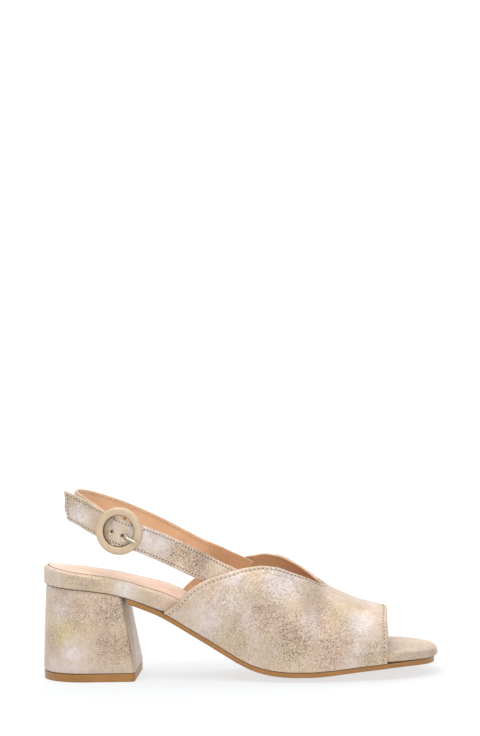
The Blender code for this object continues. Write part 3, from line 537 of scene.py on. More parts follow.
RING_CENTRE, RING_ALONG, RING_OUT, RING_UP = ring_frame()
RING_MEAN_RADIUS = (RING_DIAMETER - RING_BAND) / 2
RING_LIFT = SLING_THICKNESS / 2 + CLEARANCE + BUCKLE_STRAP_THICKNESS + CLEARANCE + RING_THICKNESS / 2
BAR_LEVEL = RING_LIFT - BAR_DROP
FOLD_RADIUS = BAR_DIAMETER / 2 + CLEARANCE + SLING_THICKNESS / 2
PRONG_LOOP_RADIUS = BAR_DIAMETER / 2 + CLEARANCE + PRONG_DIAMETER / 2
STACK = (SLING_THICKNESS + BUCKLE_STRAP_THICKNESS) / 2 + CLEARANCE
STRAP_OVER_BAR = BAR_LEVEL + PRONG_LOOP_RADIUS + PRONG_DIAMETER / 2 + CLEARANCE + BUCKLE_STRAP_THICKNESS / 2

# Both straps where they pass the buckle: shares of the ring's mean radius, and of the bulge over the bar
SLING_AT_RING = [(1.25, 0.0), (0.95, 0.0), (0.72, 0.02), (0.54, 0.14), (0.36, 0.52)]
STRAP_AT_RING = [
    (-1.25, 0.0), (-0.95, 0.0), (-0.72, 0.03), (-0.54, 0.18), (-0.36, 0.58), (0.0, 1.0),
    (0.36, 0.58), (0.54, 0.16), (0.72, 0.0), (0.95, 0.0), (1.25, -0.1),
]


def at_ring(along, out, up=0.0):
    """Place near the buckle from distances along the strap, out of it and up its width."""
    return RING_CENTRE + RING_ALONG * along + RING_OUT * out + RING_UP * up


def ring_matrix(along=0.0, out=0.0, up=0.0):
    """Local X along the strap, Y up its width and Z out of the foot."""
    axes = Matrix((RING_ALONG, RING_UP, RING_OUT)).transposed().to_4x4()
    return Matrix.Translation(at_ring(along, out, up)) @ axes


def sling_route():
    """Inner quarter, heel, buckle: the strap folds over the bar and turns back under itself."""
    rim = RING_MEAN_RADIUS
    route = sewn_places(MEDIAL_SEWN_END, 1, SLING_THICKNESS)
    route += eased_lean(with_up([loop_place(waypoint) for waypoint in SLING_ROUTE]), route[-1][1])
    over_bar = BAR_LEVEL + FOLD_RADIUS
    route += [(at_ring(-rim * along, over_bar * out), RING_UP) for along, out in SLING_AT_RING]
    for degrees in range(90, -91, -30):
        angle = math.radians(degrees)
        place = at_ring(FOLD_RADIUS * math.cos(angle), BAR_LEVEL + FOLD_RADIUS * math.sin(angle))
        route.append((place, RING_UP))
    under = BAR_LEVEL - FOLD_RADIUS
    ends = (at_ring(-rim * 0.4, under - SLING_TUCK), at_ring(-rim, -SLING_THICKNESS - CLEARANCE))
    return route + [(end, RING_UP) for end in ends]


def buckle_route():
    """Free tail, left rim, bar, right rim, outer quarter."""
    rim = RING_MEAN_RADIUS
    tail = [loop_place(waypoint) for waypoint in BUCKLE_STRAP_TAIL]
    front = [loop_place(waypoint) for waypoint in BUCKLE_STRAP_ROUTE]
    route = with_up([*tail, at_ring(-rim, STACK)])[:-1]
    bulge = STRAP_OVER_BAR - STACK
    route += [(at_ring(rim * along, STACK + bulge * out), RING_UP) for along, out in STRAP_AT_RING]
    sewn = sewn_places(LATERAL_SEWN_END, -1, BUCKLE_STRAP_THICKNESS)
    free = with_up([at_ring(rim * 1.2, STACK), *front])[1:]
    route += eased_lean(free[::-1], sewn[0][1])[::-1]
    return route + sewn


BODY = "root"
SHOE_BACK = -(FOOTBED_LENGTH - HEEL_BACK_FLARE) / 2


def linear(code):
    """Linear colour of an sRGB hex value."""
    parts = [int(code[i : i + 2], 16) / 255 for i in (0, 2, 4)]
    return [c / 12.92 if c <= 0.04045 else ((c + 0.055) / 1.055) ** 2.4 for c in parts]


def hue(name, description, code):
    return FloatVectorProperty(
        name=name, description=description, subtype="COLOR", size=3, min=0, max=1, default=linear(code)
    )


def length(name, description, default):
    return FloatProperty(name=name, description=description, default=default, unit="LENGTH", precision=5)


class SandalSizes(bpy.types.PropertyGroup):
    """Sizes of the work that the leather, thread and edges show."""

    strap_pitch: length("Strap stitch pitch", "Distance between the straps' stitches", 0.00195)
    strap_inset: length("Strap stitch inset", "From a strap's edge to its stitches", 0.0017)
    vamp_pitch: length("Vamp stitch pitch", "Distance between the vamp's stitches", 0.0025)
    vamp_inset: length("Vamp stitch inset", "From the vamp's edge to its stitches", 0.0023)
    thread: length("Thread", "Width of the sewing thread", 0.0005)
    # The needle hole is drawn as a dark blob of painted shade
    needle_hole: length("Needle hole", "Width of the dark hole between two stitches", 0.00080)
    leather: length("Vamp leather", "Thickness of the vamp's outer leather", 0.0011)
    lining_proud: length("Lining edge", "How far the lining stands past the leather's edge", 0.0002)
    seam: length("Seam shadow", "Width of the dark line where two pieces meet", 0.0006)
    clouds: length("Clouds", "Size of the pearl finish's cloudy patches", 0.024)
    grain: length("Grain", "Size of the leather's dark grain specks", 0.0014)


class SandalColours(bpy.types.PropertyGroup):
    """Colours of the leathers, threads and metals."""

    beige: hue("Beige", "Ground colour of the pearl leather", "C7B29C")
    silver: hue("Silver", "Lilac silver patches of the pearl leather", "E2D9D8")
    gold: hue("Gold", "Gold patches of the pearl leather", "D3BE8F")
    pink: hue("Pink", "Peach pink patches of the pearl leather", "CFB2A0")
    dusk: hue("Dusk", "Worn, darker ground of the pearl leather", "A68B75")
    speck: hue("Speck", "Dark specks in the pearl leather's grain", "6E5644")
    lining: hue("Lining", "Calf lining of the straps and the vamp", "DAAD86")
    lining_edge: hue("Lining edge", "Cut edge of the lining", "CFAE92")
    sock: hue("Sock", "Smooth leather of the sock", "E3C2AA")
    sole: hue("Sole", "Waxed edge of the leather sole", "9E6D33")
    tip: hue("Heel tip", "Walking tip of the heel", "9C6C32")
    thread: hue("Thread", "Sewing thread", "E0D0B8")
    # Painted shade: the dark lines in seams and gaps, the straps' needle holes, the spare hole, the vamp's
    # lower corners and the ring's opening
    shadow: hue("Seam shadow", "Dark edge paint and needle holes", "5B4028")
    ring: hue("Ring", "Brushed pale gold of the buckle", "CBB497")
    prong: hue("Prong", "Polished nickel of the prong", "D9D0C0")


# Small helpers that every piece uses


def sizes():
    return bpy.context.scene.sandal_sizes


def colours():
    return bpy.context.scene.sandal_colours


def put(point):
    """A point of the shoe's own measures in the frame's axes."""
    return Vector((point[0] + SHOE_BACK, point[1], point[2]))


def finish_of(name):
    """A material that finishes() has made."""
    return bpy.data.materials[name]


def shown(name, data):
    """A new object in the scene."""
    thing = bpy.data.objects.new(name, data)
    bpy.context.scene.collection.objects.link(thing)
    return thing


def plain_mesh(thing):
    """The mesh that an object's curve or modifiers give."""
    bpy.context.view_layer.update()
    return bpy.data.meshes.new_from_object(thing.evaluated_get(bpy.context.evaluated_depsgraph_get()))


def mesh_piece(name, bm, finishes, smooth_angle=50):
    """One visible piece from a bmesh whose points are in the frame's axes."""
    mesh = bpy.data.meshes.new(name)
    bm.to_mesh(mesh)
    bm.free()
    for finish in finishes:
        mesh.materials.append(finish_of(finish))
    mesh.shade_smooth()
    mesh.set_sharp_from_angle(angle=math.radians(smooth_angle))
    return shown(name, mesh)


def closed_piece(name, bm, finishes, smooth_angle=50):
    """A piece whose faces are first turned to look outwards."""
    bmesh.ops.recalc_face_normals(bm, faces=bm.faces)
    return mesh_piece(name, bm, finishes, smooth_angle)


def tube(rings):
    """Rings joined to a tube and closed at both ends."""
    bm = bmesh.new()
    loops = loft_rings(bm, rings)
    bm.faces.new(loops[0])
    bm.faces.new(loops[-1])
    return bm


def settle(piece, slot, *nodes):
    """Let a piece ride on the shoe and stand for CAD nodes, which it hides; the slot is not used."""
    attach(piece, BODY)
    if nodes:
        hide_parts(*nodes)
    return piece


def baked(piece):
    """Turn a piece's modifiers into a plain mesh."""
    mesh = plain_mesh(piece)
    piece.modifiers.clear()
    old = piece.data
    piece.data = mesh
    bpy.data.meshes.remove(old)
    return piece


def cut_by(piece, cutters):
    """Cut closed forms out of a piece, then throw them away."""
    for cutter in cutters:
        modifier = piece.modifiers.new("cut", "BOOLEAN")
        modifier.operation = "DIFFERENCE"
        modifier.solver = "EXACT"
        modifier.object = cutter
    baked(piece)
    for cutter in cutters:
        bpy.data.objects.remove(cutter, do_unlink=True)
    return piece


def round_cutter(diameter, depth, matrix, stretch=1.0):
    """A round or oval peg, its axis along the local Z of a matrix in the frame's axes."""
    bm = bmesh.new()
    ends = {"radius1": diameter / 2, "radius2": diameter / 2}
    bmesh.ops.create_cone(bm, cap_ends=True, segments=24, depth=depth, **ends)
    bmesh.ops.scale(bm, vec=(stretch, 1, 1), verts=bm.verts)
    bmesh.ops.transform(bm, matrix=matrix, verts=bm.verts)
    return mesh_piece("peg", bm, [])


def bead(name, places, width, finish, closed=False):
    """A fine line along places: thread, edge paint or the shadow of a seam."""
    curve = bpy.data.curves.new(name, "CURVE")
    curve.dimensions = "3D"
    curve.bevel_depth = width / 2
    curve.bevel_resolution = 2
    curve.use_fill_caps = not closed
    line = curve.splines.new("POLY")
    line.use_cyclic_u = closed
    line.points.add(len(places) - 1)
    for point, place in zip(line.points, places):
        point.co = (*place, 1)
    wire = shown(name, curve)
    mesh = plain_mesh(wire)
    bpy.data.objects.remove(wire, do_unlink=True)
    bm = bmesh.new()
    bm.from_mesh(mesh)
    bpy.data.meshes.remove(mesh)
    bmesh.ops.remove_doubles(bm, verts=bm.verts, dist=0.000005)
    return mesh_piece(name, bm, [finish])


def node(tree, kind, settings=None, **links):
    """Add a node with its settings; links are socket names (spaces as _) or indexes as _0, _1."""
    made = tree.nodes.new(kind)
    for key, value in (settings or {}).items():
        setattr(made, key, value)
    for key, value in links.items():
        bare = key.strip("_")
        socket = made.inputs[int(bare)] if bare.isdigit() else made.inputs[bare.replace("_", " ")]
        if isinstance(value, bpy.types.NodeSocket):
            tree.links.new(value, socket)
        else:
            socket.default_value = value
    return made


# Materials


def blank(name):
    """A named material with its Principled shader, ready for nodes."""
    mat = bpy.data.materials.new(name)
    mat.use_nodes = True
    tree = mat.node_tree
    shader = tree.nodes["Principled BSDF"]
    place = node(tree, "ShaderNodeTexCoord").outputs["Object"]
    return mat, tree, shader, place


def vector_of(tree, operation, a, b=(0, 0, 0)):
    """The outputs of one step of vector arithmetic."""
    return node(tree, "ShaderNodeVectorMath", {"operation": operation}, _0=a, _1=b).outputs


def noise(tree, place, size, detail=2.0, roughness=0.5, offset=0.0):
    """Noise whose features have a real size in metres, from 0 to 1."""
    moved = vector_of(tree, "ADD", place, (offset,) * 3)[0]
    grains = {"Vector": moved, "Scale": 1 / size, "Detail": detail, "Roughness": roughness}
    return node(tree, "ShaderNodeTexNoise", None, **grains).outputs["Fac"]


def window(tree, value, low, high, out_low=0.0, out_high=1.0):
    """A value eased from one range to another, and held at its ends."""
    ends = {"From_Min": low, "From_Max": high, "To_Min": out_low, "To_Max": out_high}
    soft = {"interpolation_type": "SMOOTHSTEP"}
    return node(tree, "ShaderNodeMapRange", soft, Value=value, **ends).outputs[0]


def math_of(tree, operation, a, b):
    """The result of one step of arithmetic."""
    return node(tree, "ShaderNodeMath", {"operation": operation}, _0=a, _1=b).outputs[0]


def blend(tree, share, a, b):
    """Colour a, with a share of colour b laid over it."""
    made = node(tree, "ShaderNodeMix", {"data_type": "RGBA", "blend_type": "MIX"}, _0=share)
    for index, value in ((6, a), (7, b)):
        if isinstance(value, bpy.types.NodeSocket):
            tree.links.new(value, made.inputs[index])
        else:
            made.inputs[index].default_value = (*value, 1)
    return made.outputs[2]


def dress(tree, shader, colour, rough, **values):
    """Set a shader's colour, roughness and other sockets (spaces as _) from nodes or plain values."""
    for key, value in {"Base_Color": colour, "Roughness": rough, **values}.items():
        socket = shader.inputs[key.replace("_", " ")]
        if isinstance(value, bpy.types.NodeSocket):
            tree.links.new(value, socket)
        else:
            socket.default_value = value


def bump(tree, shader, layers):
    """Raise a surface by layers of (height, relief in metres, strength), each on the one before."""
    normal = None
    for height, relief, strength in layers:
        made = node(tree, "ShaderNodeBump", None, Height=height, Distance=relief, Strength=strength)
        if normal is not None:
            tree.links.new(normal, made.inputs["Normal"])
        normal = made.outputs["Normal"]
    tree.links.new(normal, shader.inputs["Normal"])


# Where the photo shows the pearl finish change: place from the heel's back, side, height, size and colour
Patch = namedtuple("Patch", "x y z size kind strength")
VAMP_PATCHES = [Patch(*row) for row in (
    (0.116, -0.034, 0.062, 0.010, "silver", 0.95), (0.128, -0.032, 0.066, 0.011, "gold", 0.55),
    (0.146, -0.030, 0.060, 0.015, "silver", 0.95), (0.100, -0.034, 0.036, 0.014, "silver", 0.55),
    (0.112, -0.038, 0.024, 0.012, "gold", 0.50), (0.165, -0.036, 0.036, 0.016, "pink", 0.40),
    (0.180, -0.030, 0.038, 0.014, "gold", 0.50), (0.190, -0.030, 0.032, 0.012, "silver", 0.85),
    (0.150, -0.040, 0.010, 0.015, "gold", 0.45), (0.175, -0.036, 0.018, 0.011, "pink", 0.55),
    (0.135, -0.040, 0.042, 0.022, "speck", 0.75), (0.150, -0.040, 0.026, 0.018, "speck", 1.00),
    (0.172, -0.038, 0.022, 0.016, "speck", 0.80), (0.110, -0.036, 0.050, 0.014, "speck", 0.70),
    (0.195, -0.034, 0.014, 0.014, "speck", 0.60),
)]
HEEL_PATCHES = [Patch(*row) for row in (
    (0.012, -0.024, 0.030, 0.013, "gold", 0.95), (0.010, -0.024, 0.042, 0.010, "silver", 0.55),
    (0.018, -0.026, 0.018, 0.009, "silver", 0.85), (0.020, -0.026, 0.010, 0.016, "pink", 0.45),
    (0.030, -0.026, 0.052, 0.014, "pink", 0.35), (0.042, -0.026, 0.042, 0.014, "speck", 0.90),
    (0.044, -0.026, 0.022, 0.014, "speck", 0.95), (0.056, 0.000, 0.030, 0.022, "gold", 0.70),
    (0.058, -0.010, 0.030, 0.020, "speck", 1.00),
)]
STRAP_PATCHES = [Patch(*row) for row in (
    (0.024, -0.026, 0.100, 0.009, "silver", 0.85), (0.064, -0.032, 0.088, 0.012, "silver", 0.90),
    (0.072, -0.032, 0.084, 0.010, "silver", 0.70), (0.084, -0.030, 0.077, 0.010, "speck", 0.95),
    (0.094, -0.028, 0.070, 0.011, "speck", 1.00), (0.046, -0.031, 0.092, 0.009, "gold", 0.50),
)]
WRAP_PATCHES = [Patch(*row) for row in (
    (0.030, -0.027, 0.060, 0.012, "speck", 0.70), (0.072, -0.027, 0.050, 0.010, "pink", 0.60),
    (0.052, -0.027, 0.056, 0.009, "silver", 0.80), (0.084, -0.027, 0.045, 0.010, "speck", 0.60),
    (0.215, -0.026, 0.014, 0.014, "speck", 0.45), (0.225, -0.010, 0.016, 0.024, "speck", 0.60),
)]


# Clouds of the pearl finish all over: size as a share of the named one, detail and seed of their noise,
# the noise's window and the strength
Cloud = namedtuple("Cloud", "kind size roughness seed low high strength")
CLOUDS = [Cloud(*row) for row in (
    ("silver", 1.0, 0.55, 0.0, 0.50, 0.70, 0.60), ("gold", 0.8, 0.55, 7.0, 0.50, 0.68, 0.45),
    ("pink", 0.9, 0.55, 13.0, 0.50, 0.68, 0.45), ("speck", 1.1, 0.5, 21.0, 0.42, 0.68, 0.65),
)]
# How strong the clouds stay under the patches
CLOUD_UNDER_PATCH = 0.7
# A patch's ragged edge: size of its noise in metres, how deep it eats in as a share of the patch's size,
# and where the patch starts and ends to fade in the same shares
PATCH_RAG = (0.006, 1.1)
PATCH_FADE = (0.5, 1.9)


def pearl_shares(tree, place, patches):
    """How much of each colour lies at a place: soft clouds all over, and the listed patches."""
    shares = {}
    for cloud in CLOUDS:
        drift = noise(tree, place, sizes().clouds * cloud.size, 3, cloud.roughness, cloud.seed)
        shares[cloud.kind] = window(tree, drift, cloud.low, cloud.high, 0.0, cloud.strength)
    masks = {}
    rough_edge = noise(tree, place, PATCH_RAG[0], 3, 0.6, 3.0)
    for patch in patches:
        away = vector_of(tree, "DISTANCE", place, put((patch.x, patch.y, patch.z)))["Value"]
        ragged = math_of(tree, "MULTIPLY", rough_edge, patch.size * PATCH_RAG[1])
        start, end = (patch.size * share for share in PATCH_FADE)
        near = window(tree, math_of(tree, "ADD", away, ragged), start, end, patch.strength, 0.0)
        kind = patch.kind
        masks[kind] = math_of(tree, "MAXIMUM", masks[kind], near) if kind in masks else near
    for kind, mask in masks.items():
        under = math_of(tree, "MULTIPLY", shares[kind], CLOUD_UNDER_PATCH)
        shares[kind] = math_of(tree, "MAXIMUM", under, mask)
    return shares


def pearl_leather(name, patches, speckle):
    """Split calf with a foiled pearl finish: cloudy, slightly metallic, worn dark in its grain."""
    mat, tree, shader, place = blank(name)
    shares = pearl_shares(tree, place, patches)
    mottle = noise(tree, place, 0.0035, 3, 0.6, 5.0)
    worn = math_of(tree, "MULTIPLY", shares["speck"], window(tree, mottle, 0.2, 0.7, 0.35, 1.0))
    colour = blend(tree, math_of(tree, "MULTIPLY", worn, 0.55), colours().beige, colours().dusk)
    for kind in ("gold", "pink", "silver"):
        colour = blend(tree, shares[kind], colour, getattr(colours(), kind))
    colour = blend(tree, window(tree, mottle, 0.40, 0.75, 0.0, 0.30), colour, colours().dusk)
    # Dark grooves between the grain's cells and pepper on them, most where it is worn, and pale specks of
    # painted glint all over
    edges = {"feature": "DISTANCE_TO_EDGE"}
    cells = node(tree, "ShaderNodeTexVoronoi", edges, Vector=place, Scale=1 / sizes().grain, Randomness=1.0)
    cells = cells.outputs["Distance"]
    fine = noise(tree, place, sizes().grain * 0.9, 2, 0.6, 9.0)
    finer = noise(tree, place, sizes().grain * 0.5, 1, 0.5, 17.0)
    patchy = window(tree, shares["speck"], 0.0, 0.9, 0.10, 1.0)
    near_edge = window(tree, cells, 0.02, 0.16, 1.0, 0.0)
    groove = math_of(tree, "MULTIPLY", near_edge, window(tree, fine, 0.40, 0.60))
    for mark in (groove, window(tree, finer, 0.57, 0.70)):
        dark = math_of(tree, "MULTIPLY", math_of(tree, "MULTIPLY", mark, patchy), speckle)
        colour = blend(tree, dark, colour, colours().speck)
    # Painted highlight: pale glints of the foil, lighter than its silver
    painted_glint = window(tree, finer, 0.44, 0.34, 0.0, 0.32)
    colour = blend(tree, painted_glint, colour, [min(c * 1.2, 1) for c in colours().silver])
    rough = window(tree, noise(tree, place, 0.004, 2, 0.5, 31.0), 0.3, 0.7, 0.42, 0.60)
    metal = window(tree, fine, 0.35, 0.65, 0.50, 0.22)
    dress(tree, shader, colour, rough, Metallic=metal, Sheen_Weight=0.06, Sheen_Roughness=0.5,
          Coat_Weight=0.05, Coat_Roughness=0.35)
    soft = noise(tree, place, 0.009, 2, 0.5, 41.0)
    grained = [(cells, 0.00016, 0.45), (fine, 0.0001, 0.4)]
    bump(tree, shader, [(soft, 0.0006, 0.25), (mottle, 0.0002, 0.3), *grained])
    return mat


def lining_leather(name, code):
    """Aniline lining calf: smooth and matte, with faint pores and long soft streaks."""
    mat, tree, shader, place = blank(name)
    streak = noise(tree, place, 0.011, 3, 0.5, 2.0)
    pore = noise(tree, place, 0.0008, 1, 0.5, 4.0)
    darker = [c * 0.78 for c in code]
    colour = blend(tree, window(tree, streak, 0.3, 0.75, 0.0, 0.45), code, darker)
    colour = blend(tree, window(tree, pore, 0.58, 0.72, 0.0, 0.3), colour, darker)
    dress(tree, shader, colour, window(tree, streak, 0.3, 0.7, 0.5, 0.66), Sheen_Weight=0.1)
    bump(tree, shader, [(streak, 0.0004, 0.2), (pore, 0.0001, 0.35)])
    return mat


def waxed_edge(name, code, layers=0.0009):
    """Stacked leather cut across and waxed: thin level layers and a soft shine."""
    mat, tree, shader, place = blank(name)
    flat = node(tree, "ShaderNodeMapping", None, Vector=place, Scale=(0.06, 0.06, 1.0))
    layer = noise(tree, flat.outputs[0], layers, 2, 0.5, 1.0)
    cloud = noise(tree, place, 0.013, 3, 0.5, 6.0)
    colour = blend(tree, window(tree, layer, 0.42, 0.72, 0.0, 0.42), code, [c * 0.62 for c in code])
    pale = [min(c * 1.22, 1) for c in code]
    colour = blend(tree, window(tree, cloud, 0.45, 0.7, 0.0, 0.35), colour, pale)
    rough = window(tree, cloud, 0.3, 0.7, 0.36, 0.5)
    dress(tree, shader, colour, rough, Coat_Weight=0.15, Coat_Roughness=0.3)
    bump(tree, shader, [(layer, 0.00012, 0.4)])
    return mat


def ring_radius(tree, place):
    """Distance from the buckle ring's axis."""
    from_centre = vector_of(tree, "SUBTRACT", place, put(RING_CENTRE))[0]
    along = vector_of(tree, "PROJECT", from_centre, RING_OUT)[0]
    return vector_of(tree, "LENGTH", vector_of(tree, "SUBTRACT", from_centre, along)[0])["Value"]


# Width of the painted shade on the ring's inner wall round its opening, and how far it fades
RIM_SHADE = (0.0002, 0.0006)


def brushed_metal(name, code, metallic, rough, streaks, shaded_rim=False):
    """Cast zinc with a pale lacquered plating: soft brush marks and a satin shine."""
    mat, tree, shader, place = blank(name)
    stretched = node(tree, "ShaderNodeMapping", None, Vector=place, Scale=streaks)
    marks = noise(tree, stretched.outputs[0], 0.0009, 3, 0.6, 8.0)
    cloud = noise(tree, place, 0.004, 2, 0.5, 12.0)
    colour = blend(tree, window(tree, cloud, 0.35, 0.7, 0.0, 0.4), code, [c * 0.8 for c in code])
    # Painted shade: the ring darkened where its inner wall turns into the opening
    if shaded_rim:
        inner = RING_DIAMETER / 2 - RING_BAND
        dark = window(tree, ring_radius(tree, place), inner + RIM_SHADE[0], inner + RIM_SHADE[1], 0.95, 0.0)
        colour = blend(tree, dark, colour, colours().shadow)
    dress(tree, shader, colour, window(tree, marks, 0.3, 0.7, rough * 0.8, rough * 1.25), Metallic=metallic)
    bump(tree, shader, [(marks, 0.00006, 0.4)])
    return mat


def thread_twist(name, code, twist=0.002):
    """Bonded sewing thread, or a dark line or needle hole of painted shade: matte, with a fine twist."""
    mat, tree, shader, place = blank(name)
    strand = noise(tree, place, twist, 2, 0.6, 3.0)
    dress(tree, shader, blend(tree, window(tree, strand, 0.35, 0.7), code, [c * 0.7 for c in code]), 0.62)
    bump(tree, shader, [(strand, 0.0001, 0.4)])
    return mat


# Strength of the paper's glow, painted light that lifts the shoe's shadows, under the shoe and far from it,
# and where it changes
PAPER_GLOW = (0.70, 0.90)
PAPER_GLOW_REACH = (0.20, 0.60)


def studio_paper(name):
    """White studio paper that glows with painted light, brighter away from the shoe so that its shadows stay
    faint: matte, with the faintest cool cloud.
    """
    mat, tree, shader, place = blank(name)
    cloud = noise(tree, place, 0.5, 2, 0.5, 1.0)
    # Painted light: the paper glows, more strongly away from the shoe
    glow = window(tree, vector_of(tree, "LENGTH", place)["Value"], *PAPER_GLOW_REACH, *PAPER_GLOW)
    light = blend(tree, cloud, (0.97, 0.985, 1.0), (1.0, 1.0, 1.0))
    colour = blend(tree, cloud, (0.19, 0.20, 0.21), (0.21, 0.22, 0.23))
    dress(tree, shader, colour, 0.8, Emission_Color=light, Emission_Strength=glow, Specular_IOR_Level=0.2)
    return mat


def finishes():
    """Every material of the shoe, made once and found again by its name."""
    lined, speck, shadow = colours().lining, colours().speck, colours().shadow
    recipes = {
        # Pearl split calf of the vamp, the heel's cover, the straps and the footbed's wrap
        "pearl_vamp": (pearl_leather, VAMP_PATCHES, 0.9),
        "pearl_heel": (pearl_leather, HEEL_PATCHES, 0.8),
        "pearl_strap": (pearl_leather, STRAP_PATCHES, 0.9),
        "pearl_wrap": (pearl_leather, WRAP_PATCHES, 0.6),
        # Aniline calf of the straps' lining, the vamp's lining, the lining's cut edge and the sock
        "calf_lining": (lining_leather, lined),
        "calf_lining_vamp": (lining_leather, lined),
        "calf_lining_edge": (lining_leather, colours().lining_edge),
        "sock_calf": (lining_leather, colours().sock),
        # Waxed leather of the sole, and the stacked walking tip
        "waxed_sole": (waxed_edge, colours().sole),
        "waxed_tip": (waxed_edge, colours().tip, 0.0012),
        # Plated zinc ring with painted shade round its opening, and the nickel wire of its bar and prong
        "ring_plating": (brushed_metal, colours().ring, 0.25, 0.5, (1, 1, 0.15), True),
        "prong_nickel": (brushed_metal, colours().prong, 0.85, 0.26, (0.2, 1, 1)),
        # Bonded thread, and the painted shade in seams and along cut edges
        "sewing_thread": (thread_twist, colours().thread, 0.0006),
        "edge_paint": (thread_twist, shadow),
        # Painted shade of the needle holes: soft in the vamp and in the lining, deep in the straps
        "needle_mark": (thread_twist, speck),
        "lining_mark": (thread_twist, [c * 0.62 for c in lined]),
        "needle_shadow": (thread_twist, [c * 0.6 for c in shadow]),
        # Paper of the studio's sweep, glowing with painted light
        "studio_paper": (studio_paper,),
    }
    for name, (make, *settings) in recipes.items():
        if name not in bpy.data.materials:
            make(name, *settings)


# Stitches, by Geometry Nodes along a path that knows which way is out


# Share of the hole that a thread covers, width of the hole to its length, and the places of both as
# shares of the pitch along the seam and of the thread's width out of it
THREAD_OVER_HOLE = 0.75
HOLE_ROUNDNESS = 0.85
THREAD_AT = (0.5, 0.25)
HOLE_AT = (0.0, 0.18)


def stitch_tree():
    """Rows of thread with a needle hole of dark painted shade between them: the tree that every seam shares.
    """
    name = "stitch_row"
    if name in bpy.data.node_groups:
        return bpy.data.node_groups[name]
    tree = bpy.data.node_groups.new(name, "GeometryNodeTree")
    inputs = {"Geometry": "Geometry", "Pitch": "Float", "Thread": "Float", "Hole": "Float",
              "Thread finish": "Material", "Hole finish": "Material"}
    for label, kind in inputs.items():
        tree.interface.new_socket(label, in_out="INPUT", socket_type="NodeSocket" + kind)
    tree.interface.new_socket("Geometry", in_out="OUTPUT", socket_type="NodeSocketGeometry")
    given = tree.nodes.new("NodeGroupInput").outputs
    pitch, thread, hole = (given[label] for label in ("Pitch", "Thread", "Hole"))
    line = node(tree, "GeometryNodeMeshToCurve", None, Mesh=given["Geometry"]).outputs[0]
    spaced = node(tree, "GeometryNodeResampleCurve", {"mode": "LENGTH"}, Curve=line, Length=pitch)
    tangent = tree.nodes.new("GeometryNodeInputTangent").outputs[0]
    out = node(tree, "GeometryNodeInputNamedAttribute", {"data_type": "FLOAT_VECTOR"}, Name="out")
    align = "FunctionNodeAlignRotationToVector"
    lie = node(tree, align, {"axis": "Z"}, Vector=out.outputs["Attribute"]).outputs[0]
    turn = node(tree, align, {"axis": "X", "pivot_axis": "Z"}, Rotation=lie, Vector=tangent).outputs[0]
    long_side = math_of(tree, "SUBTRACT", pitch, math_of(tree, "MULTIPLY", hole, THREAD_OVER_HOLE))
    short_side = math_of(tree, "MULTIPLY", hole, HOLE_ROUNDNESS)
    parts = []
    for label, size, (along, lift) in (
        ("Thread", (long_side, thread, thread), THREAD_AT),
        ("Hole", (hole, short_side, thread), HOLE_AT),
    ):
        grain = node(tree, "GeometryNodeMeshUVSphere", None, Segments=10, Rings=6, Radius=0.5)
        shape = node(tree, "ShaderNodeCombineXYZ", None, X=size[0], Y=size[1], Z=size[2]).outputs[0]
        ahead = math_of(tree, "MULTIPLY", pitch, along)
        above = math_of(tree, "MULTIPLY", thread, lift)
        shift = node(tree, "ShaderNodeCombineXYZ", None, X=ahead, Z=above).outputs[0]
        moved = {"Geometry": grain.outputs["Mesh"], "Translation": shift, "Scale": shape}
        formed = node(tree, "GeometryNodeTransform", None, **moved).outputs[0]
        copies = {"Points": spaced.outputs[0], "Instance": formed, "Rotation": turn}
        placed = node(tree, "GeometryNodeInstanceOnPoints", None, **copies).outputs[0]
        real = node(tree, "GeometryNodeRealizeInstances", None, Geometry=placed).outputs[0]
        finish = {"Geometry": real, "Material": given[label + " finish"]}
        parts.append(node(tree, "GeometryNodeSetMaterial", None, **finish).outputs[0])
    joined = tree.nodes.new("GeometryNodeJoinGeometry")
    for part in parts:
        tree.links.new(part, joined.inputs[0])
    real = node(tree, "GeometryNodeRealizeInstances", None, Geometry=joined.outputs[0]).outputs[0]
    tree.links.new(real, tree.nodes.new("NodeGroupOutput").inputs[0])
    return tree


def stitch_rows(name, rows, pitch, slot, hole="needle_shadow"):
    """Sew rows of (place, outward direction) pairs, as one plain mesh."""
    mesh = bpy.data.meshes.new(name)
    places, outs, edges = [], [], []
    for row in rows:
        edges += [(len(places) + i, len(places) + i + 1) for i in range(len(row) - 1)]
        places += [place for place, _ in row]
        outs += [out for _, out in row]
    mesh.from_pydata(places, edges, [])
    facing = mesh.attributes.new("out", "FLOAT_VECTOR", "POINT")
    facing.data.foreach_set("vector", np.array(outs, dtype=np.float32).ravel())
    piece = shown(name, mesh)
    sewing = piece.modifiers.new("sewing", "NODES")
    sewing.node_group = tree = stitch_tree()
    keys = {item.name: item.identifier for item in tree.interface.items_tree if item.in_out == "INPUT"}
    values = {"Pitch": pitch, "Thread": sizes().thread, "Hole": sizes().needle_hole,
              "Thread finish": finish_of("sewing_thread"), "Hole finish": finish_of(hole)}
    for label, value in values.items():
        sewing[keys[label]] = value
    baked(piece)
    piece.data.shade_smooth()
    return settle(piece, slot)


# Vamp

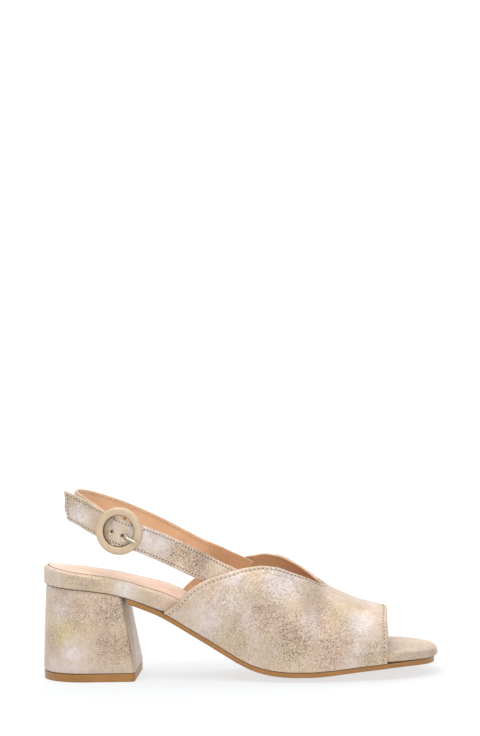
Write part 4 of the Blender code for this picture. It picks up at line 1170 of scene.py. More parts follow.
VampCrease = namedtuple("VampCrease", "side start_along start_around end_along end_around width depth")
VAMP_CREASES = [VampCrease(*row) for row in (
    (-1, 0.600, 0.20, 0.655, 0.80, 0.0070, 0.00045), (-1, 0.690, 0.15, 0.715, 0.78, 0.0065, 0.00035),
    (-1, 0.470, 0.36, 0.560, 0.22, 0.0060, 0.00040), (-1, 0.530, 0.60, 0.600, 0.46, 0.0065, 0.00040),
    (-1, 0.800, 0.45, 0.835, 0.85, 0.0050, 0.00025), (1, 0.610, 0.25, 0.665, 0.82, 0.0070, 0.00045),
    (1, 0.700, 0.20, 0.725, 0.75, 0.0065, 0.00030), (1, 0.500, 0.34, 0.560, 0.55, 0.0060, 0.00040),
)]
VAMP_COLUMNS = 170
VAMP_ROWS = 132
CREASE_STEPS = 6
# Relief at the vamp's edges: the stitch channel (depth, width), the ridge past it (height, place in
# stitch insets, width) and the edge's roll (depth, reach)
CHANNEL = (0.00022, 0.0006)
RIDGE = (0.00012, 1.9, 0.0011)
EDGE_ROLL = (0.00035, 0.0011)
# A crease's raised flank: its height as a share of the depth, and its place in widths
FLANK = (0.45, 1.9)
# Air between the vamp's leather and its lining
LINING_GAP = 0.00004
# Height of a place inside the vamp, as a share of its mean height, from which every face looks outwards
INSIDE_HEIGHT = 0.4


def vamp_grid():
    """Points of the vamp's outer face, columns round the foot by rows from the back edge to the toe."""
    grid = []
    for j in range(VAMP_COLUMNS + 1):
        share = 2 * j / VAMP_COLUMNS
        side = -1 if share <= 1 else 1
        around = share if side < 0 else 2 - share
        start = back_edge[side](around)
        end = toe_edge[side](around)
        rows = [start + (end - start) * i / VAMP_ROWS for i in range(VAMP_ROWS + 1)]
        grid.append([put(last_point(along, around, side)) for along in rows])
    return np.array(grid)


def grid_normals(grid):
    """Outward directions of a grid of points."""
    round_the_foot = np.gradient(grid, axis=0)
    forward = np.gradient(grid, axis=1)
    out = np.cross(round_the_foot, forward)
    out /= np.linalg.norm(out, axis=2, keepdims=True)
    middle = grid.mean(axis=(0, 1)) * np.array((1, 0, INSIDE_HEIGHT))
    if np.sum(out * (grid - middle)) < 0:
        out = -out
    return out


def away_from(grid, line):
    """Distance of every grid point from a line of points."""
    flat = grid.reshape(-1, 3)
    best = np.full(len(flat), 1.0)
    for a, b in zip(line, line[1:]):
        run = b - a
        share = np.clip(((flat - a) @ run) / max(run @ run, 1e-12), 0, 1)
        best = np.minimum(best, np.linalg.norm(flat - (a + share[:, None] * run), axis=1))
    return best.reshape(grid.shape[:2])


def edge_distance(grid, edges):
    """Distance of every grid point from the nearest of some edges."""
    points = [point for edge in edges for point in edge]
    tree = KDTree(len(points))
    for i, point in enumerate(points):
        tree.insert(point, i)
    tree.balance()
    flat = grid.reshape(-1, 3)
    return np.array([tree.find(point)[2] for point in flat]).reshape(grid.shape[:2])


def relief_of_vamp(grid):
    """Soft troughs and ridges: flex creases, the stitch channel and the turned edge's step."""
    relief = np.zeros(grid.shape[:2])
    for crease in VAMP_CREASES:
        line = []
        for k in range(CREASE_STEPS + 1):
            share = k / CREASE_STEPS
            along = crease.start_along + (crease.end_along - crease.start_along) * share
            around = crease.start_around + (crease.end_around - crease.start_around) * share
            line.append(np.array(put(last_point(along, around, crease.side))))
        away = away_from(grid, line)
        flank = np.exp(-(((away - FLANK[1] * crease.width) / crease.width) ** 2))
        relief -= crease.depth * np.exp(-((away / crease.width) ** 2))
        relief += crease.depth * FLANK[0] * flank
    cut = edge_distance(grid, [grid[:, 0], grid[:, -1]])
    channel = sizes().vamp_inset
    relief -= CHANNEL[0] * np.exp(-(((cut - channel) / CHANNEL[1]) ** 2))
    relief += RIDGE[0] * np.exp(-(((cut - channel * RIDGE[1]) / RIDGE[2]) ** 2))
    relief -= EDGE_ROLL[0] * np.clip(1 - cut / EDGE_ROLL[1], 0, 1) ** 2
    return relief


def sheet_shell(name, outer, inner, finish, rim_finish):
    """A closed wall between two grids; its narrow rim can have its own finish."""
    bm = bmesh.new()
    tops = [[bm.verts.new(point) for point in strip] for strip in outer]
    lows = [[bm.verts.new(point) for point in strip] for strip in inner]
    for grid, turned in ((tops, False), (lows, True)):
        for left, right in zip(grid, grid[1:]):
            if turned:
                left, right = right, left
            for i in range(len(left) - 1):
                bm.faces.new((left[i], right[i], right[i + 1], left[i + 1]))
    rims = []
    for i in range(len(tops[0]) - 1):
        rims.append((tops[0][i], tops[0][i + 1], lows[0][i + 1], lows[0][i]))
        rims.append((tops[-1][i + 1], tops[-1][i], lows[-1][i], lows[-1][i + 1]))
    for left_top, right_top, left_low, right_low in zip(tops, tops[1:], lows, lows[1:]):
        rims.append((right_top[0], left_top[0], left_low[0], right_low[0]))
        rims.append((left_top[-1], right_top[-1], right_low[-1], left_low[-1]))
    for corners in rims:
        bm.faces.new(corners).material_index = 1
    return closed_piece(name, bm, [finish, rim_finish])


def pushed_edges(grid, reach):
    """The grid with its back and toe edges moved outwards along the surface."""
    moved = grid.copy()
    for end, inner in ((0, 1), (-1, -2)):
        away = grid[:, end] - grid[:, inner]
        along_edge = np.gradient(grid[:, end], axis=0)
        along_edge /= np.linalg.norm(along_edge, axis=1, keepdims=True)
        away -= np.sum(away * along_edge, axis=1, keepdims=True) * along_edge
        away /= np.linalg.norm(away, axis=1, keepdims=True)
        moved[:, end] += away * reach
    return moved


def build_vamp():
    """Outer leather over a lining, each with its own edge."""
    grid = vamp_grid()
    out = grid_normals(grid)
    relief = relief_of_vamp(grid)[:, :, None]
    skin = grid + out * relief
    under = grid - out * sizes().leather
    leather = sheet_shell("vamp_leather", skin, under, "pearl_vamp", "pearl_vamp")
    settle(leather, "metallic_leather", "upper")
    face = pushed_edges(grid - out * (sizes().leather + LINING_GAP), sizes().lining_proud)
    back = pushed_edges(grid - out * VAMP_WALL, sizes().lining_proud)
    lining = sheet_shell("vamp_lining", face, back, "calf_lining_vamp", "calf_lining_edge")
    settle(lining, "metallic_leather")
    sew_vamp(skin)


# The vamp's seams: the edge (back or toe), and its first and last place as shares round the foot
VAMP_SEAMS = ((0, 0.012, 0.470), (0, 0.530, 0.988), (-1, 0.012, 0.988))


def sew_vamp(skin):
    """Stitch rows inside the vamp's swept back edge, its collar and the peep toe's edge."""
    columns, rows = skin.shape[:2]
    points = [Vector(point) for point in skin.reshape(-1, 3)]
    corners = [j * rows + i for j in range(columns - 1) for i in range(rows - 1)]
    faces = [(a, a + rows, a + rows + 1, a + 1) for a in corners]
    surface = BVHTree.FromPolygons(points, faces)
    middle = Vector(skin.mean(axis=(0, 1)))
    seams = []
    for end, first, last in VAMP_SEAMS:
        inner = 3 if end == 0 else -4
        seam = []
        edge = [Vector(point) for point in skin[:, end]]
        for j in range(round(first * columns), round(last * columns)):
            here = edge[j]
            along = direction(edge, j)
            away = Vector(skin[j, inner]) - here
            away = (away - along * away.dot(along)).normalized()
            place, out, _, _ = surface.find_nearest(here + away * sizes().vamp_inset)
            if out.dot(place - Vector((place.x, 0, middle.z * INSIDE_HEIGHT))) < 0:
                out = -out
            seam.append((place, out))
        seams.append(seam)
    stitch_rows("vamp_stitches", seams, sizes().vamp_pitch, "metallic_leather", "needle_mark")


# Straps

SMOOTHING_PASSES = 14
FREE_OF_RING = 0.026


def smoothed(samples):
    """Even out a route and its lean, except near the buckle's folds and at both its ends."""
    for _ in range(SMOOTHING_PASSES):
        evened = list(samples)
        for i in range(2, len(samples) - 2):
            place, up = samples[i]
            if (place - RING_CENTRE).length < FREE_OF_RING:
                continue
            before, after = samples[i - 1], samples[i + 1]
            middle, lean = (before[0] + after[0]) / 2, (before[1] + after[1]) / 2
            evened[i] = (place.lerp(middle, 0.5), up.lerp(lean, 0.5))
        samples = evened
    return samples


SLACK_AT_RING = 0.0009
SLACK_REACH = 0.011
SEWN_FRAMES = 19
STRAP_STEP = 0.0012
# A strap's layers: where the leather starts and the lining ends, as shares of half its thickness
LEATHER_FROM = -0.1
LINING_TO = -0.12
# Roundness of a layer's corners, as a share of its thickness and at most, and the bulge of its face
LAYER_CORNER = (0.42, 0.0004)
LAYER_CORNER_STEPS = 3
LAYER_DOME = 0.00012
LAYER_FLATS = 5
# How far the thread stands off a strap's leather and off its lining
THREAD_PROUD = 0.0001
INNER_THREAD_PROUD = 0.00002
# Inset of the sling's inner rows, and lean of the row across the buckle strap's cut end, as shares of
# the outer rows' inset and of the end's skew
INNER_INSET = 0.8
END_ROW_LEAN = 0.8
END_ROW_STEPS = 12
# Frames without stitches where the sling turns back, and at the buckle strap's two ends
FOLD_FRAMES = 20
STRAP_END_FRAMES = (3, 6)


def strap_samples(route):
    """Places, directions along, up and out of a strap's route; it hangs a little low in the ring."""
    samples = smoothed(spline(route, STRAP_STEP))
    places = [place for place, _ in samples]
    frames = []
    for i, (place, up) in enumerate(samples):
        tangent = direction(places, i)
        outward = tangent.cross(up).normalized()
        upright = outward.cross(tangent)
        near_ring = math.exp(-(((place - RING_CENTRE).length / SLACK_REACH) ** 4))
        frames.append((put(place) - upright * SLACK_AT_RING * near_ring, tangent, upright, outward))
    return frames


def ring_of_strap(half, low, high):
    """Cross section of a strap layer: (across, out) pairs round a slim rounded bar."""
    r = min((high - low) * LAYER_CORNER[0], LAYER_CORNER[1])
    section = []
    for a_sign, b_sign in ((1, 1), (1, -1), (-1, -1), (-1, 1)):
        corner = []
        for k in range(LAYER_CORNER_STEPS + 1):
            angle = math.pi / 2 * k / LAYER_CORNER_STEPS
            corner.append((half - r + r * math.cos(angle), r * math.sin(angle)))
        if a_sign * b_sign > 0:
            corner.reverse()
        edge = high - r if b_sign > 0 else low + r
        section += [(a_sign * a, edge + b_sign * b) for a, b in corner]
        if b_sign < 0 and a_sign > 0:
            flat = range(1, LAYER_FLATS)
            section += [((half - r) * (1 - 2 * k / LAYER_FLATS), low) for k in flat]
        if b_sign > 0 and a_sign < 0:
            for k in range(1, LAYER_FLATS):
                share = -1 + 2 * k / LAYER_FLATS
                section.append(((half - r) * share, high + LAYER_DOME * (1 - share * share)))
    return section


def layer_of_strap(name, frames, width, low, high, finish, end_shape):
    """One layer of a strap along its frames, closed at both ends."""
    section = ring_of_strap(width / 2, low, high)
    rings = []
    for i, (place, tangent, upright, outward) in enumerate(frames):
        ring = []
        for a, b in section:
            lean = end_shape(a / (width / 2), i) if end_shape else 0.0
            ring.append(place + upright * a + outward * b + tangent * lean)
        rings.append(ring)
    return closed_piece(name, tube(rings), [finish], 40)


def strap_layers(name, frames, width, half, end_shape=None):
    """A strap's pearl leather and the calf that lines it."""
    wider = width + sizes().lining_proud
    leather = (name + "_leather", frames, width, half * LEATHER_FROM, half, "pearl_strap", end_shape)
    lining = (name + "_lining", frames, wider, -half, half * LINING_TO, "calf_lining", end_shape)
    return layer_of_strap(*leather), layer_of_strap(*lining)


def strap_rows(frames, half, inset, level, first, last):
    """The two stitch rows of a strap on one of its faces, as (place, out) pairs."""
    rows = []
    facing = 1 if level > 0 else -1
    for side in (1, -1):
        row = []
        for place, _, upright, outward in frames[first:last]:
            row.append((place + upright * side * (half - inset) + outward * level, outward * facing))
        rows.append(row)
    return rows


def build_sling():
    """The sling: pearl leather outside, calf inside, sewn along both edges."""
    frames = strap_samples(sling_route())
    width = STRAP_WIDTH - SLING_NARROWER
    half = SLING_THICKNESS / 2
    leather, lining = strap_layers("sling", frames, width, half)
    lengthwise = 2 * (PRONG_LOOP_RADIUS + PRONG_DIAMETER / 2 + CLEARANCE) + SLOT_SPARE_LENGTH
    for piece in (leather, lining):
        bm = bmesh.new()
        bmesh.ops.create_cube(bm, size=1)
        deep = 2 * (FOLD_RADIUS + SLING_THICKNESS)
        bmesh.ops.scale(bm, vec=(lengthwise, PRONG_HOLE_WIDTH, deep), verts=bm.verts)
        bmesh.ops.transform(bm, matrix=ring_in_frame(out=BAR_LEVEL, up=-HOLE_ROW_DROP), verts=bm.verts)
        cut_by(piece, [mesh_piece("slot", bm, [])])
    settle(leather, "metallic_leather_strap", "sling_strap")
    settle(lining, "sock_leather")
    span = (SEWN_FRAMES, len(frames) - FOLD_FRAMES)
    rows = strap_rows(frames, width / 2, sizes().strap_inset, half + THREAD_PROUD, *span)
    stitch_rows("sling_stitches", rows, sizes().strap_pitch, "metallic_leather_strap")
    inner = (width / 2, sizes().strap_inset * INNER_INSET, -half - INNER_THREAD_PROUD)
    rows = strap_rows(frames, *inner, *span)
    stitch_rows("sling_inner_stitches", rows, sizes().strap_pitch, "metallic_leather_strap", "lining_mark")


# The buckle strap's cut end: waves as (height, turns) and the frames over which they fade
END_WAVES = ((0.0007, 4.2), (0.0002, 11))
END_FADE_FRAMES = 5
# Painted shade inside the spare hole, a dark peg: its depth under the strap's middle and its height in
# thicknesses, and its width in the hole's
HOLE_SHADOW_DEPTH = 0.25
HOLE_SHADOW_HEIGHT = 0.7
HOLE_SHADOW_WIDTH = 0.97


def free_end(across, i):
    """How far the buckle strap's cut end stands out along the strap, by place across it."""
    fade = max(1 - i / END_FADE_FRAMES, 0)
    (high, slow), (low, fast) = END_WAVES
    wave = high * math.sin(slow * (1 - across)) + low * math.sin(fast * across)
    return (-STRAP_END_SKEW * across + wave) * fade


def build_buckle_strap():
    """The buckle strap: pearl leather on calf, sewn round its free end, with punched holes."""
    frames = strap_samples(buckle_route())
    half = BUCKLE_STRAP_THICKNESS / 2
    leather, lining = strap_layers("buckle_strap", frames, STRAP_WIDTH, half, free_end)
    for piece in (leather, lining):
        pegs = []
        for along, width, stretch in (
            (PRONG_HOLE_PLACE, PRONG_HOLE_WIDTH, PRONG_HOLE_LENGTH / PRONG_HOLE_WIDTH),
            (SPARE_HOLE_PLACE, SPARE_HOLE_DIAMETER, 1.0),
        ):
            where = ring_in_frame(along, RING_LIFT, -HOLE_ROW_DROP)
            pegs.append(round_cutter(width, PUNCH_DEPTH, where, stretch))
        cut_by(piece, pegs)
    # A dark peg of painted shade inside the spare hole
    below = STRAP_OVER_BAR - BUCKLE_STRAP_THICKNESS * HOLE_SHADOW_DEPTH
    where = ring_in_frame(SPARE_HOLE_PLACE, below, -HOLE_ROW_DROP)
    width, height = SPARE_HOLE_DIAMETER * HOLE_SHADOW_WIDTH, BUCKLE_STRAP_THICKNESS * HOLE_SHADOW_HEIGHT
    peg = round_cutter(width, height, where)
    peg.name = "hole_shadow"
    peg.data.materials.append(finish_of("needle_shadow"))
    settle(peg, "metallic_leather_strap")
    settle(leather, "metallic_leather_strap", "buckle_strap")
    settle(lining, "sock_leather")
    edge = STRAP_WIDTH / 2
    span = (STRAP_END_FRAMES[0], len(frames) - STRAP_END_FRAMES[1])
    rows = strap_rows(frames, edge, sizes().strap_inset, half + THREAD_PROUD, *span)
    place, tangent, upright, outward = frames[2]
    cross = []
    for k in range(END_ROW_STEPS + 1):
        across = (2 * k / END_ROW_STEPS - 1) * (edge - sizes().strap_inset)
        lean = -STRAP_END_SKEW * END_ROW_LEAN * across / edge
        cross.append((place + upright * across + tangent * lean + outward * (half + THREAD_PROUD), outward))
    rows.append(cross)
    rows += strap_rows(frames, edge, sizes().strap_inset, -half - INNER_THREAD_PROUD, *span)
    stitch_rows("buckle_strap_stitches", rows, sizes().strap_pitch, "metallic_leather_strap")


# Buckle

RING_STEPS = 96
BAND_STEPS = 28
# Powers that square off the band's corners across it and through it
BAND_CORNERS = (0.72, 0.86)
# The prong's notch in the rim: its lift and width in prong diameters, and its length in bands
NOTCH = (0.22, 1.25, 1.6)
# Degrees at which the wire of the prong's eye starts and ends, and the step between
EYE_TURN = (-20, -271, -12)
# How deep the prong's underside lies in the rim's notch, as a share of half the ring's thickness
PRONG_REST = 0.9
WIRE_STEPS = 14
PRONG_STEP = 0.0004
# The prong's blunt tip: its width as a share of the wire's, and the steps over which it rounds off
PRONG_TIP = 0.45
PRONG_TIP_STEPS = 4
# How the centre bar bends down from the rim: shares of the rim's radius and of the bar's drop
BAR_SHOULDER = (0.93, 0.55)
BAR_ELBOW = 0.88


def ring_in_frame(along=0.0, out=0.0, up=0.0):
    """The buckle's own axes at one of its places, in the frame's axes."""
    return Matrix.Translation((SHOE_BACK, 0, 0)) @ ring_matrix(along, out, up)


def build_buckle():
    """Cast ring with a soft-cornered band and a notch in its rim for the prong, and its dropped bar."""
    rings = []
    for i in range(RING_STEPS):
        turn = math.tau * i / RING_STEPS
        ring = []
        for k in range(BAND_STEPS):
            angle = math.tau * k / BAND_STEPS
            c, s = math.cos(angle), math.sin(angle)
            reach = RING_MEAN_RADIUS + math.copysign(abs(c) ** BAND_CORNERS[0], c) * RING_BAND / 2
            rise = math.copysign(abs(s) ** BAND_CORNERS[1], s) * RING_THICKNESS / 2
            ring.append(Vector((reach * math.cos(turn), reach * math.sin(turn), rise)))
        rings.append(ring)
    bm = bmesh.new()
    loops = loft_rings(bm, rings)
    for k in range(BAND_STEPS):
        j = (k + 1) % BAND_STEPS
        bm.faces.new((loops[-1][k], loops[-1][j], loops[0][j], loops[0][k]))
    bmesh.ops.transform(bm, matrix=ring_in_frame(out=RING_LIFT), verts=bm.verts)
    ring = closed_piece("buckle_ring_band", bm, ["ring_plating"])
    notch_level = RING_LIFT + RING_THICKNESS / 2 + PRONG_DIAMETER * NOTCH[0]
    notch = ring_in_frame(RING_MEAN_RADIUS, notch_level, -HOLE_ROW_DROP)
    notch = notch @ Matrix.Rotation(math.pi / 2, 4, "Y")
    cut_by(ring, [round_cutter(PRONG_DIAMETER * NOTCH[1], RING_BAND * NOTCH[2], notch)])
    settle(ring, "pale_gold_metal", "buckle_ring")
    half_bar = STRAP_WIDTH / 2 + CLEARANCE + BAR_DIAMETER / 2
    bend = [
        (RING_MEAN_RADIUS, 0.0),
        (RING_MEAN_RADIUS * BAR_SHOULDER[0], -BAR_DROP * BAR_SHOULDER[1]),
        (half_bar + BAR_BEND_OUTER, -BAR_DROP * BAR_ELBOW),
        (half_bar - BAR_BEND_INNER, -BAR_DROP),
    ]
    local = [(0, -up, out) for up, out in bend] + [(0, up, out) for up, out in reversed(bend)]
    matrix = ring_in_frame(out=RING_LIFT)
    bar = bead("buckle_bar_wire", [matrix @ Vector(p) for p in local], BAR_DIAMETER, "prong_nickel")
    settle(bar, "pale_gold_metal")


def build_prong():
    """Drawn wire prong: an eye round the bar, up through the strap and down on the rim."""
    radius = PRONG_LOOP_RADIUS
    route = []
    for degrees in range(*EYE_TURN):
        angle = math.radians(degrees)
        route.append((Vector((radius * math.cos(angle), 0, BAR_LEVEL + radius * math.sin(angle))), RING_UP))
    rest = RING_LIFT + RING_THICKNESS / 2 * PRONG_REST + CLEARANCE + PRONG_DIAMETER / 2
    route += [(Vector((along, 0, BAR_LEVEL + radius + over)), RING_UP) for along, over in PRONG_OVER_EYE]
    route += [(Vector((along, 0, rest + over)), RING_UP) for along, over in PRONG_TO_RIM]
    samples = [place for place, _ in spline(route, PRONG_STEP)]
    matrix = ring_in_frame(up=-HOLE_ROW_DROP)
    rings = []
    total = len(samples)
    across = Vector((0, 1, 0))
    for i, place in enumerate(samples):
        tangent = direction(samples, i)
        out = tangent.cross(across).normalized()
        tip = min((total - 1 - i) / PRONG_TIP_STEPS, 1)
        size = PRONG_DIAMETER / 2 * (PRONG_TIP + (1 - PRONG_TIP) * math.sqrt(max(1 - (1 - tip) ** 2, 0)))
        ring = []
        for k in range(WIRE_STEPS):
            angle = math.tau * k / WIRE_STEPS
            ring.append(matrix @ (place + across * math.cos(angle) * size + out * math.sin(angle) * size))
        rings.append(ring)
    prong = closed_piece("buckle_prong_wire", tube(rings), ["prong_nickel"])
    settle(prong, "pale_gold_metal", "buckle_prong")


# Footbed, sock, sole and heel

PLATE_PITCH = 0.004
PLATE_END_STEPS = 16
# Rungs' inner points across the footbed and the sock, and across the sole
BED_COLUMNS = 8
SOLE_COLUMNS = 10
# Roundness of the wrap's lower edge as a share of the upper one's
WRAP_LOWER_ROUND = 0.35
WRAP_ROUND_STEPS = 8
SOCK_EDGE = 0.0002
SOCK_SWELL = 0.0003
SOCK_RIM_DROP = 0.0002
SOLE_ROUND = 0.0005
SOLE_SEAM_INSET = 0.0004
SEAM_LIFT = 0.00005
TIP_ROUND = 0.0004


def fine_stations(back, tip, round_back, round_tip):
    """Places along a plate, close enough together for its leather to look smooth."""
    return stations(back, tip, round_back, round_tip, PLATE_PITCH, PLATE_END_STEPS)


def plate_mesh(name, outline, layers, columns, top, bottom, finish):
    """A plate from its side rings and rung caps, moved to the frame's axes."""
    bm = bmesh.new()
    loops = loft_rings(bm, [inset_ring(outline, inset, height) for inset, height in layers])
    rung_cap(bm, loops[0], columns, bottom)
    rung_cap(bm, loops[-1], columns, top)
    bmesh.ops.translate(bm, vec=(SHOE_BACK, 0, 0), verts=bm.verts)
    return closed_piece(name, bm, [finish])


def quarter(radius, steps):
    """A quarter of a circle in even steps, as its distances from the two lines that it touches."""
    angles = [math.pi / 2 * k / steps for k in range(steps + 1)]
    return [(radius * (1 - math.cos(angle)), radius * (1 - math.sin(angle))) for angle in angles]


def rounded_layers(low, high, radius, inset=0.0, steps=5):
    """Side wall between two height functions, with both its edges rounded."""
    lower, upper = [], []
    for near, far in quarter(radius, steps):
        lower.append((inset + far, lambda x, y, step=near: low(x, y) + step))
        upper.append((inset + near, lambda x, y, step=far: high(x, y) - step))
    return lower + upper


def seam_shade_line(name, places, width, slot):
    """A closed dark line of painted shade where two pieces meet."""
    return settle(bead(name, places, width, "edge_paint", True), slot)


def build_footbed():
    """Wrapped footbed: a padded band whose leather turns over its upper edge into the sock's recess."""
    outline = plan_ring(fine_stations(0, FOOTBED_LENGTH, HEEL_ROUND, TOE_ROUND), half_width, BED_COLUMNS)
    radius = FOOTBED_EDGE_ROUND
    low = radius * WRAP_LOWER_ROUND
    layers = []
    for angle in (0.0, 0.5, 1.0, math.pi / 2):
        rise = low * (1 - math.cos(angle))
        layers.append((low * (1 - math.sin(angle)), lambda x, y, rise=rise: feather_height(x) + rise))
    for inset, drop in quarter(radius, WRAP_ROUND_STEPS):
        layers.append((inset, lambda x, y, drop=drop: footbed_top(x, y) - drop))
    layers.append((radius + SOCK_RIM * 0.7, lambda x, y: footbed_top(x, y) - SOCK_RIM_DROP))
    layers.append((radius + SOCK_RIM, sock_seat))

    def under(x, y):
        return feather_height(x)

    piece = plate_mesh("footbed_wrap", outline, layers, BED_COLUMNS, sock_seat, under, "pearl_wrap")
    settle(piece, "metallic_leather_wrap", "footbed")


def sock_outline():
    """The sock's plan, cut square under the vamp, and how far it is to be moved inwards."""
    places = [x for x in fine_stations(0, FOOTBED_LENGTH, HEEL_ROUND, TOE_ROUND) if x <= SOCK_LENGTH]
    inset = FOOTBED_EDGE_ROUND + SOCK_RIM + CLEARANCE
    places[-1] += inset
    return plan_ring(places, lambda x, side: half_width(x, side, 2 * FOOTBED_LENGTH), BED_COLUMNS), inset


def build_sock():
    """Sock of smooth calf, with a dark line of painted shade along its cut edge."""

    def base(x, y):
        return sock_seat(min(x, SOCK_LENGTH), y) + CLEARANCE

    def top(x, y):
        side = -1 if y < 0 else 1
        across = min(abs(y) / (straight_half_width(x, side) + 0.0001), 1)
        return base(x, y) + SOCK_THICKNESS + SOCK_SWELL * (1 - across**4)

    outline, inset = sock_outline()
    layers = [(inset, base), (inset, lambda x, y: top(x, y) - SOCK_EDGE), (inset + SOCK_EDGE, top)]
    piece = plate_mesh("sock", outline, layers, BED_COLUMNS, top, base, "sock_calf")
    settle(piece, "sock_leather", "insole")
    # Dark line of painted shade in the gap at the sock's cut edge
    line = inset_ring(outline, inset - CLEARANCE * 0.6, lambda x, y: base(x, y) + SOCK_THICKNESS * 0.92)
    seam_shade_line("sock_edge_paint", [put(p) for p in line], sizes().seam, "sock_leather")


CORNER_GAP = 0.0013
# Place of each dark blob of painted shade past the corner, over it and under the wall, and its height:
# shares of its width, the third of the wall
CORNER_GAP_PLACE = (0.5, 0.3, 0.8)
CORNER_GAP_HEIGHT = 0.8


def build_corner_gap_shade():
    """Dark blobs of painted shade where the vamp's lower corners turn in between the footbed and the sole."""
    bm = bmesh.new()
    past, over, under = CORNER_GAP_PLACE
    size = Matrix.Diagonal((CORNER_GAP, VAMP_WALL, CORNER_GAP * CORNER_GAP_HEIGHT, 1))
    for side in (-1, 1):
        for edge, inward in ((back_edge, -1), (toe_edge, 1)):
            along = edge[side](0.0) + inward * CORNER_GAP * past / FOOTBED_LENGTH
            place = put(last_point(along, 0.0, side))
            place.z += CORNER_GAP * over
            place.y -= side * VAMP_WALL * under
            turn = Matrix.Translation(place) @ size
            bmesh.ops.create_icosphere(bm, subdivisions=2, radius=0.5, matrix=turn)
    shade_blobs = mesh_piece("corner_hollows", bm, ["needle_shadow"])
    settle(shade_blobs, "metallic_leather")


def build_outsole():
    """Thin leather sole, its edge trimmed and waxed, with a dark line of painted shade where it meets the
    upper.
    """
    tip = FOOTBED_LENGTH - OUTSOLE_TOE_SETBACK
    back = HEEL_TOP_LENGTH + 4 * CLEARANCE

    def width(x, side):
        margin = OUTSOLE_MARGIN * margin_share(x / FOOTBED_LENGTH)
        return half_width(x, side, tip) + wall_offset(x, side, margin)

    def upper_face(x, y):
        return outsole_top(x)

    outline = plan_ring(fine_stations(back, tip, 0, TOE_ROUND), width, SOLE_COLUMNS)
    layers = rounded_layers(outsole_bottom, upper_face, SOLE_ROUND)
    plate = ("outsole_leather", outline, layers, SOLE_COLUMNS, upper_face, outsole_bottom, "waxed_sole")
    settle(plate_mesh(*plate), "sole_leather", "outsole")
    # Dark line of painted shade in the gap between the sole and the upper
    line = inset_ring(outline, SOLE_SEAM_INSET, lambda x, y: outsole_top(x) + SEAM_LIFT)
    seam_shade_line("sole_seam_shadow", [put(point) for point in line], sizes().seam, "sole_leather")


HEEL_FLARE_POWER = 0.8
HEEL_PLAN_PITCH = 0.003
HEEL_END_STEPS = 18
HEEL_CORNER_STEPS = 8


def fine_heel_ring(share):
    """Finer plan of the heel at a share of its height."""
    back = -HEEL_BACK_FLARE * (1 - share) ** HEEL_FLARE_POWER
    front = HEEL_BASE_LENGTH + (HEEL_TOP_LENGTH - HEEL_BASE_LENGTH) * share - HEEL_BACK_FLARE
    width = HEEL_BASE_WIDTH + (SEAT_WIDTH - HEEL_BASE_WIDTH) * share
    inset = HEEL_TOP_INSET * share
    skew = HEEL_BREAST_SKEW * (1 - share)
    narrow = (width / 2 - inset) / (SEAT_WIDTH / 2)
    places = stations(0, HEEL_TOP_LENGTH, HEEL_ROUND, 0, HEEL_PLAN_PITCH, HEEL_END_STEPS)
    walls = {}
    for side in (-1, 1):
        run = front - back - inset + skew * (side + 1) / 2
        walls[side] = []
        for x in places:
            along = back + inset + run * x / HEEL_TOP_LENGTH
            across = side * narrow * half_width(x, side, 2 * FOOTBED_LENGTH)
            walls[side].append(Vector((along, across, 0)))
    corner = HEEL_CORNER_RADIUS
    arcs = {}
    for side in (-1, 1):
        end = walls[side][-1]
        arcs[side] = []
        for k in range(1, HEEL_CORNER_STEPS + 1):
            angle = math.pi / 2 * k / HEEL_CORNER_STEPS
            x = end.x - corner + corner * math.sin(angle)
            y = abs(end.y) - corner + corner * math.cos(angle)
            arcs[side].append(Vector((x, side * y, 0)))
        end.x -= corner
    return walls[-1] + arcs[-1] + arcs[1][::-1] + walls[1][::-1]


HEEL_STEPS = 24
HEEL_EDGE = 0.0005
# Width of the painted shade line at the tip to the other shade lines, and how far it lies in from the heel's
# edge
TIP_SEAM = (0.8, 0.02)


def build_heel():
    """Block heel covered in the upper's leather, drawn tight over its corners."""
    base = TOP_PIECE_THICKNESS + CLEARANCE
    rings = []
    for k in range(HEEL_STEPS + 1):
        level = k / HEEL_STEPS
        ring = []
        for point in fine_heel_ring(level):
            top = feather_height(point.x) - CLEARANCE
            ring.append(put((point.x, point.y, base + (top - base) * level)))
        rings.append(ring)
    middle = SHOE_BACK + HEEL_TOP_LENGTH / 2
    for ring in (rings[0], rings[-1]):
        for i, point in enumerate(ring):
            ring[i] = point + Vector((middle - point.x, -point.y, 0)).normalized() * HEEL_EDGE
    bm = bmesh.new()
    loops = loft_rings(bm, rings)
    rung_cap(bm, loops[0], 1, None)
    rung_cap(bm, loops[-1], 1, None)
    piece = closed_piece("heel_cover", bm, ["pearl_heel"], 60)
    settle(piece, "metallic_leather", "heel")
    # Dark lines of painted shade where the heel meets the footbed and its walking tip
    seat = [put((p.x, p.y, feather_height(p.x) - CLEARANCE * 0.5)) for p in fine_heel_ring(1.0)]
    seam_shade_line("heel_seat_seam", seat, sizes().seam, "metallic_leather")
    foot = [put((p.x, p.y, TOP_PIECE_THICKNESS + CLEARANCE * 0.5)) for p in fine_heel_ring(0.0)]
    width, inset = TIP_SEAM
    foot = [Vector((p.x + (middle - p.x) * inset, p.y * (1 - inset), p.z)) for p in foot]
    seam_shade_line("heel_tip_seam", foot, sizes().seam * width, "heel_tip")


def build_heel_tip():
    """Walking tip: a thin lift with a broken edge."""
    outline = fine_heel_ring(0.0)
    faces = (lambda x, y: 0.0, lambda x, y: TOP_PIECE_THICKNESS)
    layers = rounded_layers(*faces, TIP_ROUND, TOP_PIECE_INSET, 3)
    piece = plate_mesh("heel_tip_lift", outline, layers, 1, None, None, "waxed_tip")
    settle(piece, "heel_tip", "heel_top_piece")


# Stage: floor, light and camera

